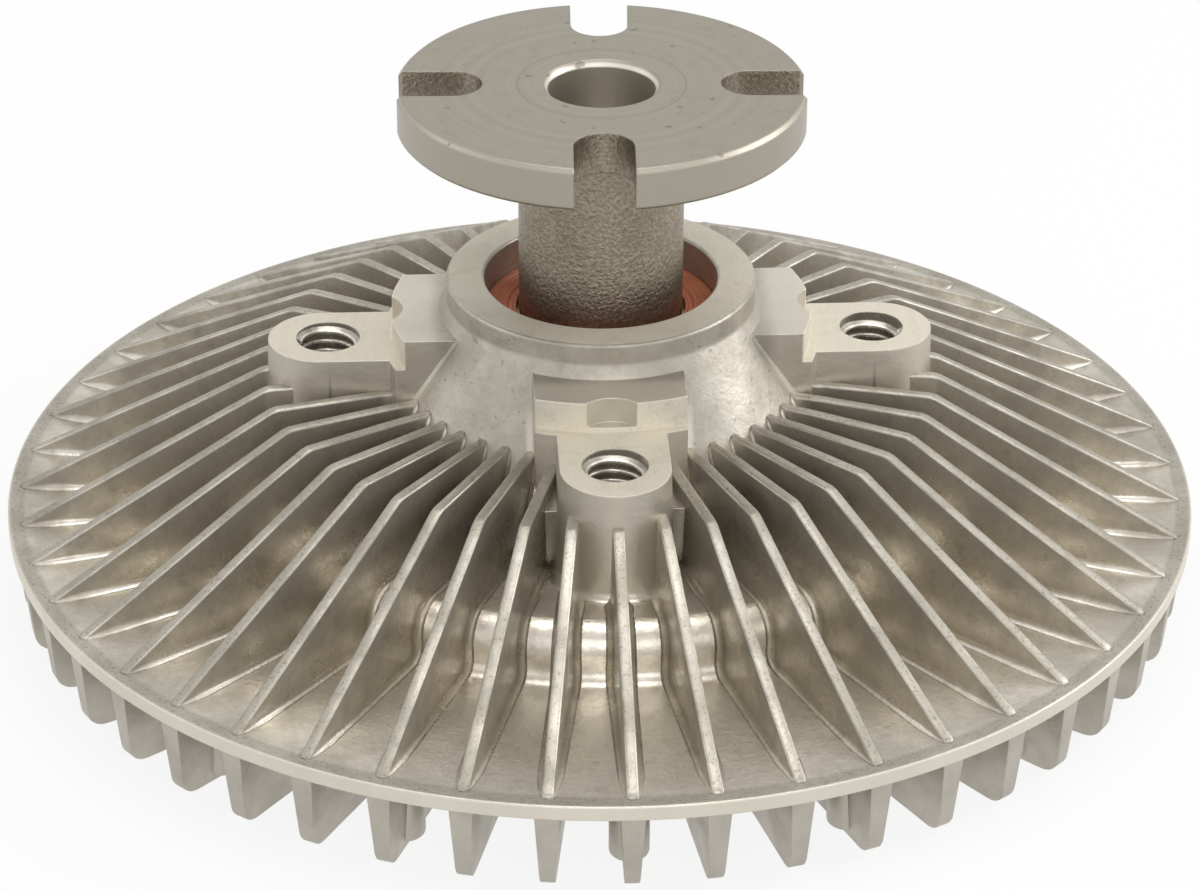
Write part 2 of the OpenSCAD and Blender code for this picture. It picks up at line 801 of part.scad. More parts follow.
drive_shaft();
rear_body();
rear_bearing_seal();
bearing_outer_race();
bearing_inner_race();
bearing_balls();
bearing_cages();
front_bearing_seal();
clutch_rotor();
separator_plate();
wiper();
cover_seal();
front_cover();
valve_bush();
valve_shaft();
valve_shaft_seal();
valve_clip();
valve_arm();
bimetal_coil();
coil_bracket();
bracket_screws();
fill_plug();
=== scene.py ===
# %% [markdown]
# A viscous fan clutch stands on its front fins with the drive flange up. The packed
# solids come in as a fixed frame in metres. Every piece below is modelled in the same
# frame, in millimetres, and scaled once when its mesh is finished, because the sizes of
# such a casting are easier to read and check in millimetres.

# %% Load the frame
import json
import math

import bmesh
import bpy
from mathutils import Matrix, Vector


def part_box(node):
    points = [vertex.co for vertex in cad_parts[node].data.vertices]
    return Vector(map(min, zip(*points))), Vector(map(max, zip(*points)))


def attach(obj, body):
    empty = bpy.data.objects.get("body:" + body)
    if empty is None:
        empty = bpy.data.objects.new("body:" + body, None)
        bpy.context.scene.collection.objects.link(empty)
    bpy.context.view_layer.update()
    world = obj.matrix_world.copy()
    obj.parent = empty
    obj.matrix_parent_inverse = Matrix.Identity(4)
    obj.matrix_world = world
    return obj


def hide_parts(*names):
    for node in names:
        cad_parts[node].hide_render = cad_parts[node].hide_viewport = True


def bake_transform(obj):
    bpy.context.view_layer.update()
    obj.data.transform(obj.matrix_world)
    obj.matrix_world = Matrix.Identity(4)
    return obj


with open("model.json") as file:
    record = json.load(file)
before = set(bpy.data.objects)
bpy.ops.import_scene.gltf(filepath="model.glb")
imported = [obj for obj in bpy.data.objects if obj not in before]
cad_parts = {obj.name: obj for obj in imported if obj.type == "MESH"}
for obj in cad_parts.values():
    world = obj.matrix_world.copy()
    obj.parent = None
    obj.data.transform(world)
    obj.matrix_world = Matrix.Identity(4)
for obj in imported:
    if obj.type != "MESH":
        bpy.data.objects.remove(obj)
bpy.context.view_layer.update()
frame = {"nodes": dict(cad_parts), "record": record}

nodes = frame["nodes"]
MM = 0.001
FLANGE_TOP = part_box("drive_shaft")[1][2] / MM
print("nodes", len(nodes), "flange face at", round(FLANGE_TOP, 2), "mm")


def up(depth):
    """Height in millimetres of a depth below the flange face."""
    return FLANGE_TOP - depth


# %% [markdown]
# The camera stands where the photograph was taken: about 57 cm away with a long lens,
# looking down by some 29 degrees. A long lens keeps the far fins nearly as large as the
# near ones. The place was found by matching the round edges of flange, hub and rim.

# %% Camera
CAMERA_TURN = math.radians(3.05)
CAMERA_DISTANCE = 0.52247
CAMERA_ABOVE_FLANGE = 0.23154
CAMERA_PITCH = math.radians(29.224)
CAMERA_ROLL = math.radians(0.273)

lens = bpy.data.cameras.new("photo_lens")
lens.sensor_fit = "HORIZONTAL"
lens.sensor_width = 36.0
lens.lens = 116.48
lens.clip_start = 0.01
lens.clip_end = 20.0
camera = bpy.data.objects.new("photo_camera", lens)
scene = bpy.context.scene
scene.collection.objects.link(camera)
scene.camera = camera
camera_place = Vector((
    -CAMERA_DISTANCE * math.sin(CAMERA_TURN),
    -CAMERA_DISTANCE * math.cos(CAMERA_TURN),
    FLANGE_TOP * MM + CAMERA_ABOVE_FLANGE,
))
camera_turn = (
    Matrix.Rotation(-CAMERA_TURN, 4, "Z")
    @ Matrix.Rotation(math.pi / 2 - CAMERA_PITCH, 4, "X")
    @ Matrix.Rotation(CAMERA_ROLL, 4, "Z")
)
camera.matrix_world = Matrix.Translation(camera_place) @ camera_turn
print("camera at", [round(c, 3) for c in camera_place])

# %% [markdown]
# Lights, floor and finishes are made of shader nodes. One helper places a node and fills
# its inputs: a socket of another node is linked, and a number or a colour is set. Another
# turns a bmesh, which is a mesh still being edited, into an object.

# %% Helpers for nodes and meshes


def feed(tree, node, values):
    """Links or sets inputs of a node, named by label or number."""
    for key, value in values.items():
        socket = node.inputs[key]
        if isinstance(value, bpy.types.NodeSocket):
            tree.links.new(value, socket)
        elif socket.type == "RGBA":
            socket.default_value = (*value, 1)
        else:
            socket.default_value = value


def place_node(tree, kind, values, **settings):
    node = tree.nodes.new(kind)
    for key, value in settings.items():
        setattr(node, key, value)
    feed(tree, node, values)
    return node


def math_node(tree, operation, first, *others):
    """One operation on a number, or on two or more of them in turn."""
    if not others:
        return place_node(tree, "ShaderNodeMath", {0: first}, operation=operation).outputs[0]
    for other in others:
        node = place_node(tree, "ShaderNodeMath", {0: first, 1: other}, operation=operation)
        first = node.outputs[0]
    return first


def place_mesh(name, bm):
    """Turns a bmesh into an object of the scene."""
    mesh = bpy.data.meshes.new(name)
    bm.to_mesh(mesh)
    bm.free()
    holder = bpy.data.objects.new(name, mesh)
    scene.collection.objects.link(holder)
    return holder


# %% [markdown]
# A product photograph like this one is lit by a big softbox overhead, a strong one on the
# right, weaker ones on the left and in front, and white walls around. Area lamps give the
# soft shadow, and the world gives the white walls that bare metal needs to reflect.

# %% Lights and white walls
scene.view_settings.view_transform = "Standard"
LIGHT_TARGET = Vector((0, 0, 0.03))
ROOM_STRENGTH = 0.45
PAPER_STRENGTH = 1.0


def softbox(name, place, size, watts):
    lamp = bpy.data.lights.new(name, "AREA")
    lamp.shape = "SQUARE"
    lamp.size = size
    lamp.energy = watts
    holder = bpy.data.objects.new(name, lamp)
    scene.collection.objects.link(holder)
    holder.location = place
    aim = LIGHT_TARGET - Vector(place)
    holder.rotation_euler = aim.to_track_quat("-Z", "Y").to_euler()


softbox("top_softbox", (0.05, 0.1, 0.95), 0.6, 3.4)
softbox("left_softbox", (-0.8, 0.1, 0.5), 0.45, 0.6)
softbox("right_softbox", (0.8, 0.1, 0.5), 0.45, 3.2)
softbox("front_softbox", (0.1, -1.0, 0.55), 0.6, 2.0)

world = bpy.data.worlds.new("white_walls")
scene.world = world
world.use_nodes = True
tree = world.node_tree
tree.nodes.clear()


def seen_or_reflected(tree):
    """1 for rays from the camera, from reflections and through glass, 0 for soft light."""
    rays = tree.nodes.new("ShaderNodeLightPath").outputs
    labels = ("Is Camera Ray", "Is Glossy Ray", "Is Transmission Ray")
    return math_node(tree, "MAXIMUM", *[rays[label] for label in labels])


room = place_node(
    tree, "ShaderNodeBackground", {"Color": (1.0, 0.985, 0.96), "Strength": ROOM_STRENGTH})
paper = place_node(tree, "ShaderNodeBackground", {"Color": (1, 1, 1), "Strength": PAPER_STRENGTH})
choose = place_node(
    tree, "ShaderNodeMixShader",
    {"Fac": seen_or_reflected(tree), 1: room.outputs["Background"], 2: paper.outputs["Background"]})
place_node(tree, "ShaderNodeOutputWorld", {"Surface": choose.outputs["Shader"]})
print("lamps", len(bpy.data.lights))

# %% [markdown]
# The floor is a wide white sheet. Its own colour catches the soft shadow. For rays from
# the camera and from reflections it also glows, so the sheet reads as white paper
# without more soft light falling on the metal.

# %% Floor
PAPER_HALF = 4
PAPER_DROP = 0.0003
GLOW_SHARE = 0.88
bm = bmesh.new()
bmesh.ops.create_grid(bm, x_segments=1, y_segments=1, size=PAPER_HALF)
floor = place_mesh("paper_floor", bm)
floor.location.z = -PAPER_DROP
paper_white = bpy.data.materials.new("paper_white")
paper_white.use_nodes = True
tree = paper_white.node_tree
tree.nodes.clear()
paper_skin = place_node(tree, "ShaderNodeBsdfDiffuse", {"Color": (0.9, 0.9, 0.9)})
paper_glow = place_node(
    tree, "ShaderNodeEmission", {"Color": (1, 1, 1), "Strength": seen_or_reflected(tree)})
paper_mix = place_node(
    tree, "ShaderNodeMixShader",
    {"Fac": GLOW_SHARE, 1: paper_skin.outputs["BSDF"], 2: paper_glow.outputs["Emission"]})
place_node(tree, "ShaderNodeOutputMaterial", {"Surface": paper_mix.outputs["Shader"]})
floor.data.materials.append(paper_white)
print("floor", floor.name)

# %% [markdown]
# Finishes that several metals share are node groups: the mottled skin of a casting, the
# fine rings that a lathe leaves, and scratches. Each group gives only masks and heights
# that change over the surface, and every material mixes them with its own colours.

# %% Mask and colour helpers


def times(tree, *values):
    return math_node(tree, "MULTIPLY", *values)


def plus(tree, *values):
    return math_node(tree, "ADD", *values)


def minus(tree, first, second):
    return math_node(tree, "SUBTRACT", first, second)


def largest(tree, *values):
    return math_node(tree, "MAXIMUM", *values)


def band(tree, value, low, high):
    """Smooth step from 0 at low to 1 at high."""
    values = {"Value": value, "From Min": low, "From Max": high}
    node = place_node(tree, "ShaderNodeMapRange", values, interpolation_type="SMOOTHSTEP")
    return node.outputs["Result"]


def mix_colour(tree, mask, first, second):
    """The first colour where the mask is 0, the second where it is 1."""
    values = {0: mask, 6: first, 7: second}
    return place_node(tree, "ShaderNodeMix", values, data_type="RGBA").outputs[2]


def tint(tree, colour, mask, share, towards):
    """Moves a colour a share of the way towards another where the mask is 1."""
    return mix_colour(tree, times(tree, mask, share), colour, towards)


def noise(tree, vector, scale, detail=3.0, rough=0.55):
    values = {"Scale": scale, "Detail": detail, "Roughness": rough, "Vector": vector}
    return place_node(tree, "ShaderNodeTexNoise", values).outputs["Fac"]


def line_noise(tree, along, scale):
    """Noise that changes along one number only."""
    values = {"Scale": scale, "Detail": 2, "W": along}
    return place_node(tree, "ShaderNodeTexNoise", values, noise_dimensions="1D").outputs["Fac"]


def split(tree, vector):
    """The X, Y and Z of a vector."""
    return place_node(tree, "ShaderNodeSeparateXYZ", {0: vector}).outputs


def axis_distance(tree, parts):
    """Distance of a place from the spin axis."""
    x_square = times(tree, parts["X"], parts["X"])
    y_square = times(tree, parts["Y"], parts["Y"])
    return math_node(tree, "SQRT", plus(tree, x_square, y_square))


def new_group(name, outputs):
    """Node group with one vector input and some number outputs."""
    group = bpy.data.node_groups.new(name, "ShaderNodeTree")
    group.interface.new_socket("Vector", in_out="INPUT", socket_type="NodeSocketVector")
    for label in outputs:
        group.interface.new_socket(label, in_out="OUTPUT", socket_type="NodeSocketFloat")
    return group, group.nodes.new("NodeGroupInput"), group.nodes.new("NodeGroupOutput")


# %% Cast skin group
cast_skin, skin_in, skin_out = new_group("cast_skin", ("Mottle", "Stain", "Speckle", "Height"))
skin_place = skin_in.outputs["Vector"]
clouds = noise(cast_skin, skin_place, 110, 6, 0.62)
blots = noise(cast_skin, skin_place, 340, 5, 0.65)
dots = noise(cast_skin, skin_place, 2300, 3, 0.6)
grain = noise(cast_skin, skin_place, 1300, 3)
feed(cast_skin, skin_out, {
    "Mottle": band(cast_skin, clouds, 0.3, 0.7),
    "Stain": band(cast_skin, blots, 0.5, 0.75),
    "Speckle": band(cast_skin, dots, 0.48, 0.72),
    "Height": plus(cast_skin, grain, times(cast_skin, clouds, 1.2)),
})

# %% Lathe rings group
lathe_rings, ring_in, ring_out = new_group("lathe_rings", ("Rings", "Fine"))
ring_radius = axis_distance(lathe_rings, split(lathe_rings, ring_in.outputs["Vector"]))
for scale, label in ((2600, "Fine"), (700, "Rings")):
    feed(lathe_rings, ring_out, {label: line_noise(lathe_rings, ring_radius, scale)})

# %% Scratches group
scratches, scratch_in, scratch_out = new_group("scratches", ("Lines",))
line_masks = []
for turn, scale in ((0.4, 1040), (1.7, 840), (2.6, 1280)):
    values = {"Rotation": (0, 0, turn), "Scale": (1, 0.06, 1), "Vector": scratch_in.outputs["Vector"]}
    turned = place_node(scratches, "ShaderNodeMapping", values)
    streak = noise(scratches, turned.outputs["Vector"], scale, 1)
    line_masks.append(band(scratches, streak, 0.7, 0.78))
feed(scratches, scratch_out, {"Lines": largest(scratches, *line_masks)})
print("groups", [g.name for g in bpy.data.node_groups])

# %% [markdown]
# A material starts from a few helpers: Object coordinates, a Principled shader, a Bump
# node and a normal that rounds edges. Metal and roughness that do not change are set on
# the shader itself.

# %% Material starter


def start_material(name, metallic, roughness):
    material = bpy.data.materials.new(name)
    material.use_nodes = True
    tree = material.node_tree
    shader = tree.nodes["Principled BSDF"]
    feed(tree, shader, {"Metallic": metallic, "Roughness": roughness})
    coords = tree.nodes.new("ShaderNodeTexCoord").outputs["Object"]
    return material, tree, shader, coords


def use_group(tree, group, coords):
    return place_node(tree, "ShaderNodeGroup", {"Vector": coords}, node_tree=group).outputs


def bump(tree, shader, height, strength, distance, normal=None):
    values = {"Strength": strength, "Distance": distance, "Height": height}
    if normal is not None:
        values["Normal"] = normal
    node = place_node(tree, "ShaderNodeBump", values)
    feed(tree, shader, {"Normal": node.outputs["Normal"]})


def rounded_normal(tree, radius):
    """Normal that turns softly over edges, by a radius in millimetres."""
    return place_node(tree, "ShaderNodeBevel", {"Radius": radius * MM}, samples=4).outputs["Normal"]


def round_and_height(tree, coords):
    """Distance from the spin axis and height, both in millimetres."""
    parts = split(tree, coords)
    radius_mm = math_node(tree, "DIVIDE", axis_distance(tree, parts), MM)
    height_mm = math_node(tree, "DIVIDE", parts["Z"], MM)
    return radius_mm, height_mm


# %% [markdown]
# The housing's sizes are named once, because its material and its meshes both use them.
# A radius is measured from the spin axis and a depth down from the flange face. OVERLAP
# is how far a piece runs into its neighbour, so that no gap opens between them.

# %% Sizes of the housing, in millimetres
KNEE_RADIUS = 51.1
FIN_END_RADIUS = 88.25
CREST_DEPTH = 45.9
RIM_DEPTH = 65.8
CREST_END_DEPTH = 65.2
CREST_SLOPE = (CREST_END_DEPTH - CREST_DEPTH) / (FIN_END_RADIUS - KNEE_RADIUS)
HUB_DEPTH = 31.2
HUB_RADIUS = 23.3
BAND_DEPTH = 34.6
CONE_FOOT = 37.5
FLOOR_DEPTH = 57.8
CONE_SLOPE = (FLOOR_DEPTH - BAND_DEPTH) / (CONE_FOOT - HUB_RADIUS)
PAD_DEPTH = 41.0
PILOT_RADIUS = 31.75
BOLT_CIRCLE = 41.25
WEB_REACH = 41.0
WEB_HALF = 11.0
BUTTRESS_HALF = 11.1
BOSS_HALF = 8.0
BOSS_REACH = 50.3
RIM_RADIUS = 90.85
BOSS_COUNT = 4
OVERLAP = 0.8
print("crest slope", round(CREST_SLOPE, 3), "cone slope", round(CONE_SLOPE, 3))

# %% [markdown]
# The die-cast aluminium is dull and spotted along the crests, which stand out and get
# handled. Down in the valleys it is painted lighter, which stands in for the bright
# reflection on the shoulder, and where the fins meet the cone it is painted dark as shade.
# How deep a point lies in a valley follows from its radius and height alone: the crest
# line is level near the hub and then falls straight to the rim, so its height is
# computed in the material and compared with the point's own height.

# %% Die-cast aluminium
DEEP_SHADE_START = 50
DEEP_SHADE_FULL = 36
CREST_START = 31.2
CREST_FULL = 33.5
die_cast, tree, shader, coords = start_material("die_cast", 0.85, 0.4)
skin = use_group(tree, cast_skin, coords)
rings = use_group(tree, lathe_rings, coords)
cracks = use_group(tree, scratches, coords)
radius_mm, height_mm = round_and_height(tree, coords)
beyond_knee = largest(tree, minus(tree, radius_mm, KNEE_RADIUS), 0)
crest_mm = minus(tree, up(CREST_DEPTH), times(tree, beyond_knee, CREST_SLOPE))
below_crest = minus(tree, crest_mm, height_mm)
uneven = times(tree, minus(tree, skin["Mottle"], 0.5), 3)
above_rim = band(tree, height_mm, up(RIM_DEPTH + 3), up(RIM_DEPTH + 0.5))
valley = band(tree, plus(tree, below_crest, uneven), -0.5, 6)
valley = times(tree, valley, above_rim)
# Painted shade: the valleys are painted darker towards the cone, where shade falls deep between the
# fins.
painted_deep_shade = times(tree, valley, band(tree, radius_mm, DEEP_SHADE_START, DEEP_SHADE_FULL))
facing = tree.nodes.new("ShaderNodeNewGeometry")
facing_up = split(tree, facing.outputs["Normal"])["Z"]
crest = times(
    tree, band(tree, below_crest, 0.75, 0.3), band(tree, below_crest, -0.9, -0.3),
    band(tree, radius_mm, CREST_START, CREST_FULL), band(tree, facing_up, 0.45, 0.7))

# %% Place of the four bosses in the material
place_parts = split(tree, coords)
reach_x = math_node(tree, "ABSOLUTE", math_node(tree, "DIVIDE", place_parts["X"], MM))
reach_y = math_node(tree, "ABSOLUTE", math_node(tree, "DIVIDE", place_parts["Y"], MM))
along = largest(tree, reach_x, reach_y)
aside = math_node(tree, "MINIMUM", reach_x, reach_y)
beside_boss = band(tree, aside, BOSS_HALF + 1.2, BOSS_HALF + 0.4)
boss_zone = times(tree, beside_boss, band(tree, along, BOSS_REACH + 0.9, BOSS_REACH + 0.1))
past_axis = minus(tree, along, BOLT_CIRCLE)
hole_square = plus(tree, times(tree, past_axis, past_axis), times(tree, aside, aside))
hole_mm = math_node(tree, "SQRT", hole_square)
not_boss = minus(tree, 1, boss_zone)
not_buttress = band(tree, aside, BUTTRESS_HALF, BUTTRESS_HALF + 0.5)
valley = times(tree, valley, not_boss)
painted_deep_shade = times(tree, painted_deep_shade, not_boss)

# %% Colours of the casting
CRACK_DEPTH = 50
pale = mix_colour(tree, skin["Mottle"], (0.40, 0.37, 0.312), (0.53, 0.495, 0.425))
# Painted highlight: the valleys get a lighter colour than the exposed faces, standing in for the bright
# reflection on the shoulder between the fins.
painted_valley_light = mix_colour(tree, skin["Mottle"], (0.54, 0.5, 0.425), (0.74, 0.692, 0.605))
colour = mix_colour(tree, valley, pale, painted_valley_light)
# Painted shade deep in the valleys near the cone.
colour = tint(tree, colour, painted_deep_shade, 0.65, (0.28, 0.254, 0.21))
colour = tint(tree, colour, skin["Stain"], 0.35, (0.25, 0.225, 0.185))
colour = tint(tree, colour, skin["Speckle"], 0.14, (0.2, 0.18, 0.15))
on_cone = band(tree, radius_mm, CONE_FOOT + 0.5, CONE_FOOT - 2.5)
on_cone = times(tree, on_cone, band(tree, height_mm, up(FLOOR_DEPTH), up(CRACK_DEPTH)))
crack_mask = times(tree, cracks["Lines"], on_cone, not_buttress)
below_rim = band(tree, height_mm, up(RIM_DEPTH + 2.2), up(RIM_DEPTH + 2.8))
colour = tint(tree, colour, below_rim, 0.45, (0.64, 0.6, 0.525))
rear_side = band(tree, height_mm, up(RIM_DEPTH + 1), up(RIM_DEPTH))
beside_buttress = band(tree, aside, BUTTRESS_HALF + 1.5, BUTTRESS_HALF + 0.7)
buttress_zone = times(tree, beside_buttress, band(tree, along, PILOT_RADIUS + 1.75, PILOT_RADIUS + 0.75))
past_hub = band(tree, along, HUB_RADIUS + 0.2, HUB_RADIUS + 3.2)
cast_block = times(tree, largest(tree, boss_zone, buttress_zone), past_hub, rear_side)
colour = tint(tree, colour, cast_block, 0.75, (0.67, 0.625, 0.535))
rim_edge = band(tree, radius_mm, RIM_RADIUS - 0.45, RIM_RADIUS - 0.15)
colour = tint(tree, colour, rim_edge, 0.85, (0.83, 0.775, 0.665))
web_gap = math_node(tree, "ABSOLUTE", minus(tree, along, WEB_REACH))
# Painted shade: the front face of each web beside a boss is painted dark, as the shadow it lies in.
painted_web_shade = times(
    tree, band(tree, web_gap, 0.3, 0.1), band(tree, aside, BOSS_HALF, BOSS_HALF + 0.3),
    band(tree, aside, WEB_HALF + 0.3, WEB_HALF), rear_side)
colour = tint(tree, colour, painted_web_shade, 0.8, (0.17, 0.156, 0.128))
colour = tint(tree, colour, crack_mask, 0.5, (0.2, 0.18, 0.15))
crest_spots = times(tree, band(tree, skin["Speckle"], 0.3, 0.75), 0.7)
crest_tone = mix_colour(tree, skin["Mottle"], (0.305, 0.283, 0.235), (0.41, 0.382, 0.323))
spotted_crest = mix_colour(tree, crest_spots, crest_tone, (0.14, 0.127, 0.102))
colour = mix_colour(tree, times(tree, crest, 0.85), colour, spotted_crest)

# %% Machined faces of the casting
HOLE_WALL = (4.9, 4.8)
THREAD_GROOVE = (4.05, 4.3)
level = band(tree, facing_up, 0.97, 0.995)
pad_gap = math_node(tree, "ABSOLUTE", minus(tree, height_mm, up(PAD_DEPTH)))
pad_face = times(tree, level, band(tree, pad_gap, 0.2, 0.1))
hub_face = times(tree, level, band(tree, height_mm, up(HUB_DEPTH + 0.3), up(HUB_DEPTH + 0.1)))
above_pad = band(tree, height_mm, up(PAD_DEPTH), up(PAD_DEPTH - 0.1))
wall_gap = math_node(tree, "ABSOLUTE", minus(tree, radius_mm, PILOT_RADIUS))
pilot_wall = times(tree, band(tree, wall_gap, 0.2, 0.1), above_pad)
machined = largest(tree, pad_face, hub_face, pilot_wall)
turned = mix_colour(tree, rings["Rings"], (0.65, 0.603, 0.5), (0.705, 0.655, 0.545))
turned = mix_colour(tree, hub_face, turned, (0.71, 0.662, 0.548))
turned = mix_colour(tree, pilot_wall, turned, (0.9, 0.845, 0.72))
turned = tint(tree, turned, skin["Stain"], 0.3, (0.4, 0.365, 0.295))
turned = tint(tree, turned, skin["Speckle"], 0.12, (0.25, 0.225, 0.18))
colour = mix_colour(tree, machined, colour, turned)
above_floor = band(tree, height_mm, up(FLOOR_DEPTH), up(FLOOR_DEPTH - 1))
in_hole = times(tree, band(tree, hole_mm, *HOLE_WALL), above_floor)
# Painted shade: the roots between the thread ridges are painted dark, so that only the crests stay
# bright.
painted_groove_shade = times(tree, in_hole, band(tree, hole_mm, *THREAD_GROOVE))
colour = mix_colour(tree, in_hole, colour, (0.82, 0.78, 0.69))
colour = tint(tree, colour, painted_groove_shade, 0.65, (0.2, 0.18, 0.145))

# %% Edges and gloss of the casting
rounded = rounded_normal(tree, 0.25)
values = {0: rounded, 1: facing.outputs["True Normal"]}
turn_dot = place_node(tree, "ShaderNodeVectorMath", values, operation="DOT_PRODUCT")
edge_mask = band(tree, minus(tree, 1, turn_dot.outputs["Value"]), 0.02, 0.1)
# Painted highlight: a light, broken line along convex and hollow edges alike, standing in for the light
# that rounded edges and fillets catch; the rim's outer edge is left out.
painted_edge_highlight = times(
    tree, edge_mask, band(tree, skin["Mottle"], 0.1, 0.7),
    band(tree, radius_mm, RIM_RADIUS - 0.85, RIM_RADIUS - 2.85))
colour = tint(tree, colour, painted_edge_highlight, 0.75, (0.82, 0.775, 0.68))
values = {"Value": skin["Mottle"], "To Min": 0.5, "To Max": 0.36}
rough = place_node(tree, "ShaderNodeMapRange", values).outputs["Result"]
gloss = minus(tree, times(tree, machined, 0.1), times(tree, valley, 0.12))
gloss = minus(tree, gloss, times(tree, in_hole, 0.18))
shine = minus(tree, times(tree, valley, 0.15), times(tree, machined, 0.3))
feed(tree, shader, {
    "Base Color": colour,
    "Roughness": plus(tree, rough, gloss),
    "Metallic": plus(tree, shine, 0.72),
})
cut_lines = times(tree, rings["Fine"], machined, 0.25)
along_wall = minus(tree, radius_mm, height_mm)
along_wall = plus(tree, along_wall, times(tree, skin["Mottle"], 0.8))
flow_lines = times(tree, line_noise(tree, along_wall, 2.2), valley, 0.35)
relief = plus(tree, skin["Height"], cut_lines, flow_lines)
bump(tree, shader, relief, 0.5, 0.1 * MM, rounded)
print("die_cast", len(tree.nodes), "nodes")

# %% [markdown]
# The drive shaft is iron: its flange is turned bright and has marks from years of use,
# while the neck keeps the pebbled skin of the sand mould. Height tells the two apart.

# %% Shaft iron
FLANGE_WALL = (29.6, 29.9)
BORE_WALL = (8.6, 8.2)
TURNED_DEPTH = 17.3
BORE_SHADE_TOP = 9
BORE_SHADE_END = 14
SPOT_FACE = 12.4
shaft_iron, tree, shader, coords = start_material("shaft_iron", 1.0, 0.4)
skin = use_group(tree, cast_skin, coords)
rings = use_group(tree, lathe_rings, coords)
radius_mm, height_mm = round_and_height(tree, coords)
facing = tree.nodes.new("ShaderNodeNewGeometry")
facing_up = split(tree, facing.outputs["Normal"])["Z"]
top_face = band(tree, facing_up, 0.4, 0.7)
outer_wall = band(tree, radius_mm, *FLANGE_WALL)
bore_wall = band(tree, radius_mm, *BORE_WALL)
turned = largest(tree, top_face, outer_wall, bore_wall)
above_neck = band(tree, height_mm, up(TURNED_DEPTH + 1), up(TURNED_DEPTH))
turned = times(tree, turned, above_neck)
bright = mix_colour(tree, rings["Rings"], (0.285, 0.26, 0.212), (0.34, 0.312, 0.257))
bright = tint(tree, bright, skin["Stain"], 0.3, (0.22, 0.195, 0.15))
bright = mix_colour(tree, outer_wall, bright, (0.385, 0.355, 0.295))
bright = mix_colour(tree, bore_wall, bright, (0.62, 0.585, 0.515))
pebble = noise(tree, coords, 1700, 3, 0.6)
raw = mix_colour(tree, band(tree, pebble, 0.3, 0.7), (0.25, 0.215, 0.168), (0.4, 0.352, 0.28))
raw = tint(tree, raw, skin["Mottle"], 0.35, (0.2, 0.17, 0.13))
# Painted shade: the bore wall is painted dark between BORE_SHADE_TOP and BORE_SHADE_END below the flange
# face, where shade falls inside the bore.
painted_bore_shade = times(tree, bore_wall, band(tree, height_mm, up(BORE_SHADE_TOP), up(BORE_SHADE_END)))
bright = tint(tree, bright, painted_bore_shade, 0.65, (0.11, 0.1, 0.085))
colour = mix_colour(tree, turned, raw, bright)
ring_gap = math_node(tree, "ABSOLUTE", minus(tree, radius_mm, SPOT_FACE))
ring_line = times(tree, band(tree, ring_gap, 0.22, 0.08), top_face)
colour = tint(tree, colour, ring_line, 0.5, (0.2, 0.18, 0.15))
nicks = times(tree, band(tree, noise(tree, coords, 420, 1), 0.7, 0.74), top_face)
colour = tint(tree, colour, nicks, 0.6, (0.16, 0.14, 0.11))
feed(tree, shader, {"Base Color": colour})
rounded = rounded_normal(tree, 0.4)
raw_side = minus(tree, 1, turned)
pebble_height = times(tree, pebble, raw_side)
line_height = times(tree, rings["Fine"], turned, 0.04)
relief = plus(tree, pebble_height, line_height)
bump(tree, shader, relief, 0.7, 0.32 * MM, rounded)

# %% [markdown]
# The rest are simple finishes: red-brown silicone for the bearing seals, ground steel,
# brass, rubber, and the two-metal strip of the coil. Each still gets its own grain.

# %% Small finishes


def simple_finish(name, dark, light, metallic, roughness, grain_scale, depth):
    material, tree, shader, coords = start_material(name, metallic, roughness)
    skin = use_group(tree, cast_skin, coords)
    colour = mix_colour(tree, skin["Mottle"], dark, light)
    feed(tree, shader, {"Base Color": colour})
    bump(tree, shader, noise(tree, coords, grain_scale, 3), 0.3, depth * MM)
    return material


PLAIN_FINISHES = {
    "seal_silicone": ((0.7, 0.232, 0.122), (0.86, 0.312, 0.172), 0, 0.5, 900, 0.05),
    "bearing_steel": ((0.55, 0.55, 0.54), (0.7, 0.7, 0.69), 1, 0.25, 1200, 0.02),
    "cage_brass": ((0.6, 0.46, 0.2), (0.75, 0.6, 0.3), 1, 0.35, 900, 0.03),
    "rotor_aluminium": ((0.6, 0.6, 0.58), (0.72, 0.71, 0.69), 1, 0.35, 900, 0.03),
    "sheet_steel": ((0.3, 0.295, 0.28), (0.42, 0.412, 0.395), 1, 0.42, 1100, 0.03),
    "wiper_plastic": ((0.03, 0.03, 0.032), (0.05, 0.05, 0.052), 0, 0.5, 900, 0.05),
    "ring_rubber": ((0.012, 0.012, 0.012), (0.025, 0.025, 0.025), 0, 0.6, 900, 0.05),
    "bush_bronze": ((0.42, 0.26, 0.1), (0.55, 0.36, 0.16), 1, 0.4, 900, 0.03),
    "coil_strip": ((0.27, 0.222, 0.15), (0.4, 0.335, 0.24), 1, 0.42, 700, 0.04),
}
finishes = {"shaft_iron": shaft_iron, "body_casting": die_cast}
for name, settings in PLAIN_FINISHES.items():
    finishes[name] = simple_finish(name, *settings)
for part in frame["record"]["subparts"]:
    data = nodes[part["node"]].data
    data.materials.clear()
    data.materials.append(finishes[part["material_slot"]])
print("finishes", len(finishes))

# %% [markdown]
# The housing's shell is round, so its section is drawn once as a closed outline of
# radius and depth and spun about the axis. A Screw modifier would do the same, but the
# spin operator leaves a mesh whose rings can be checked at once.

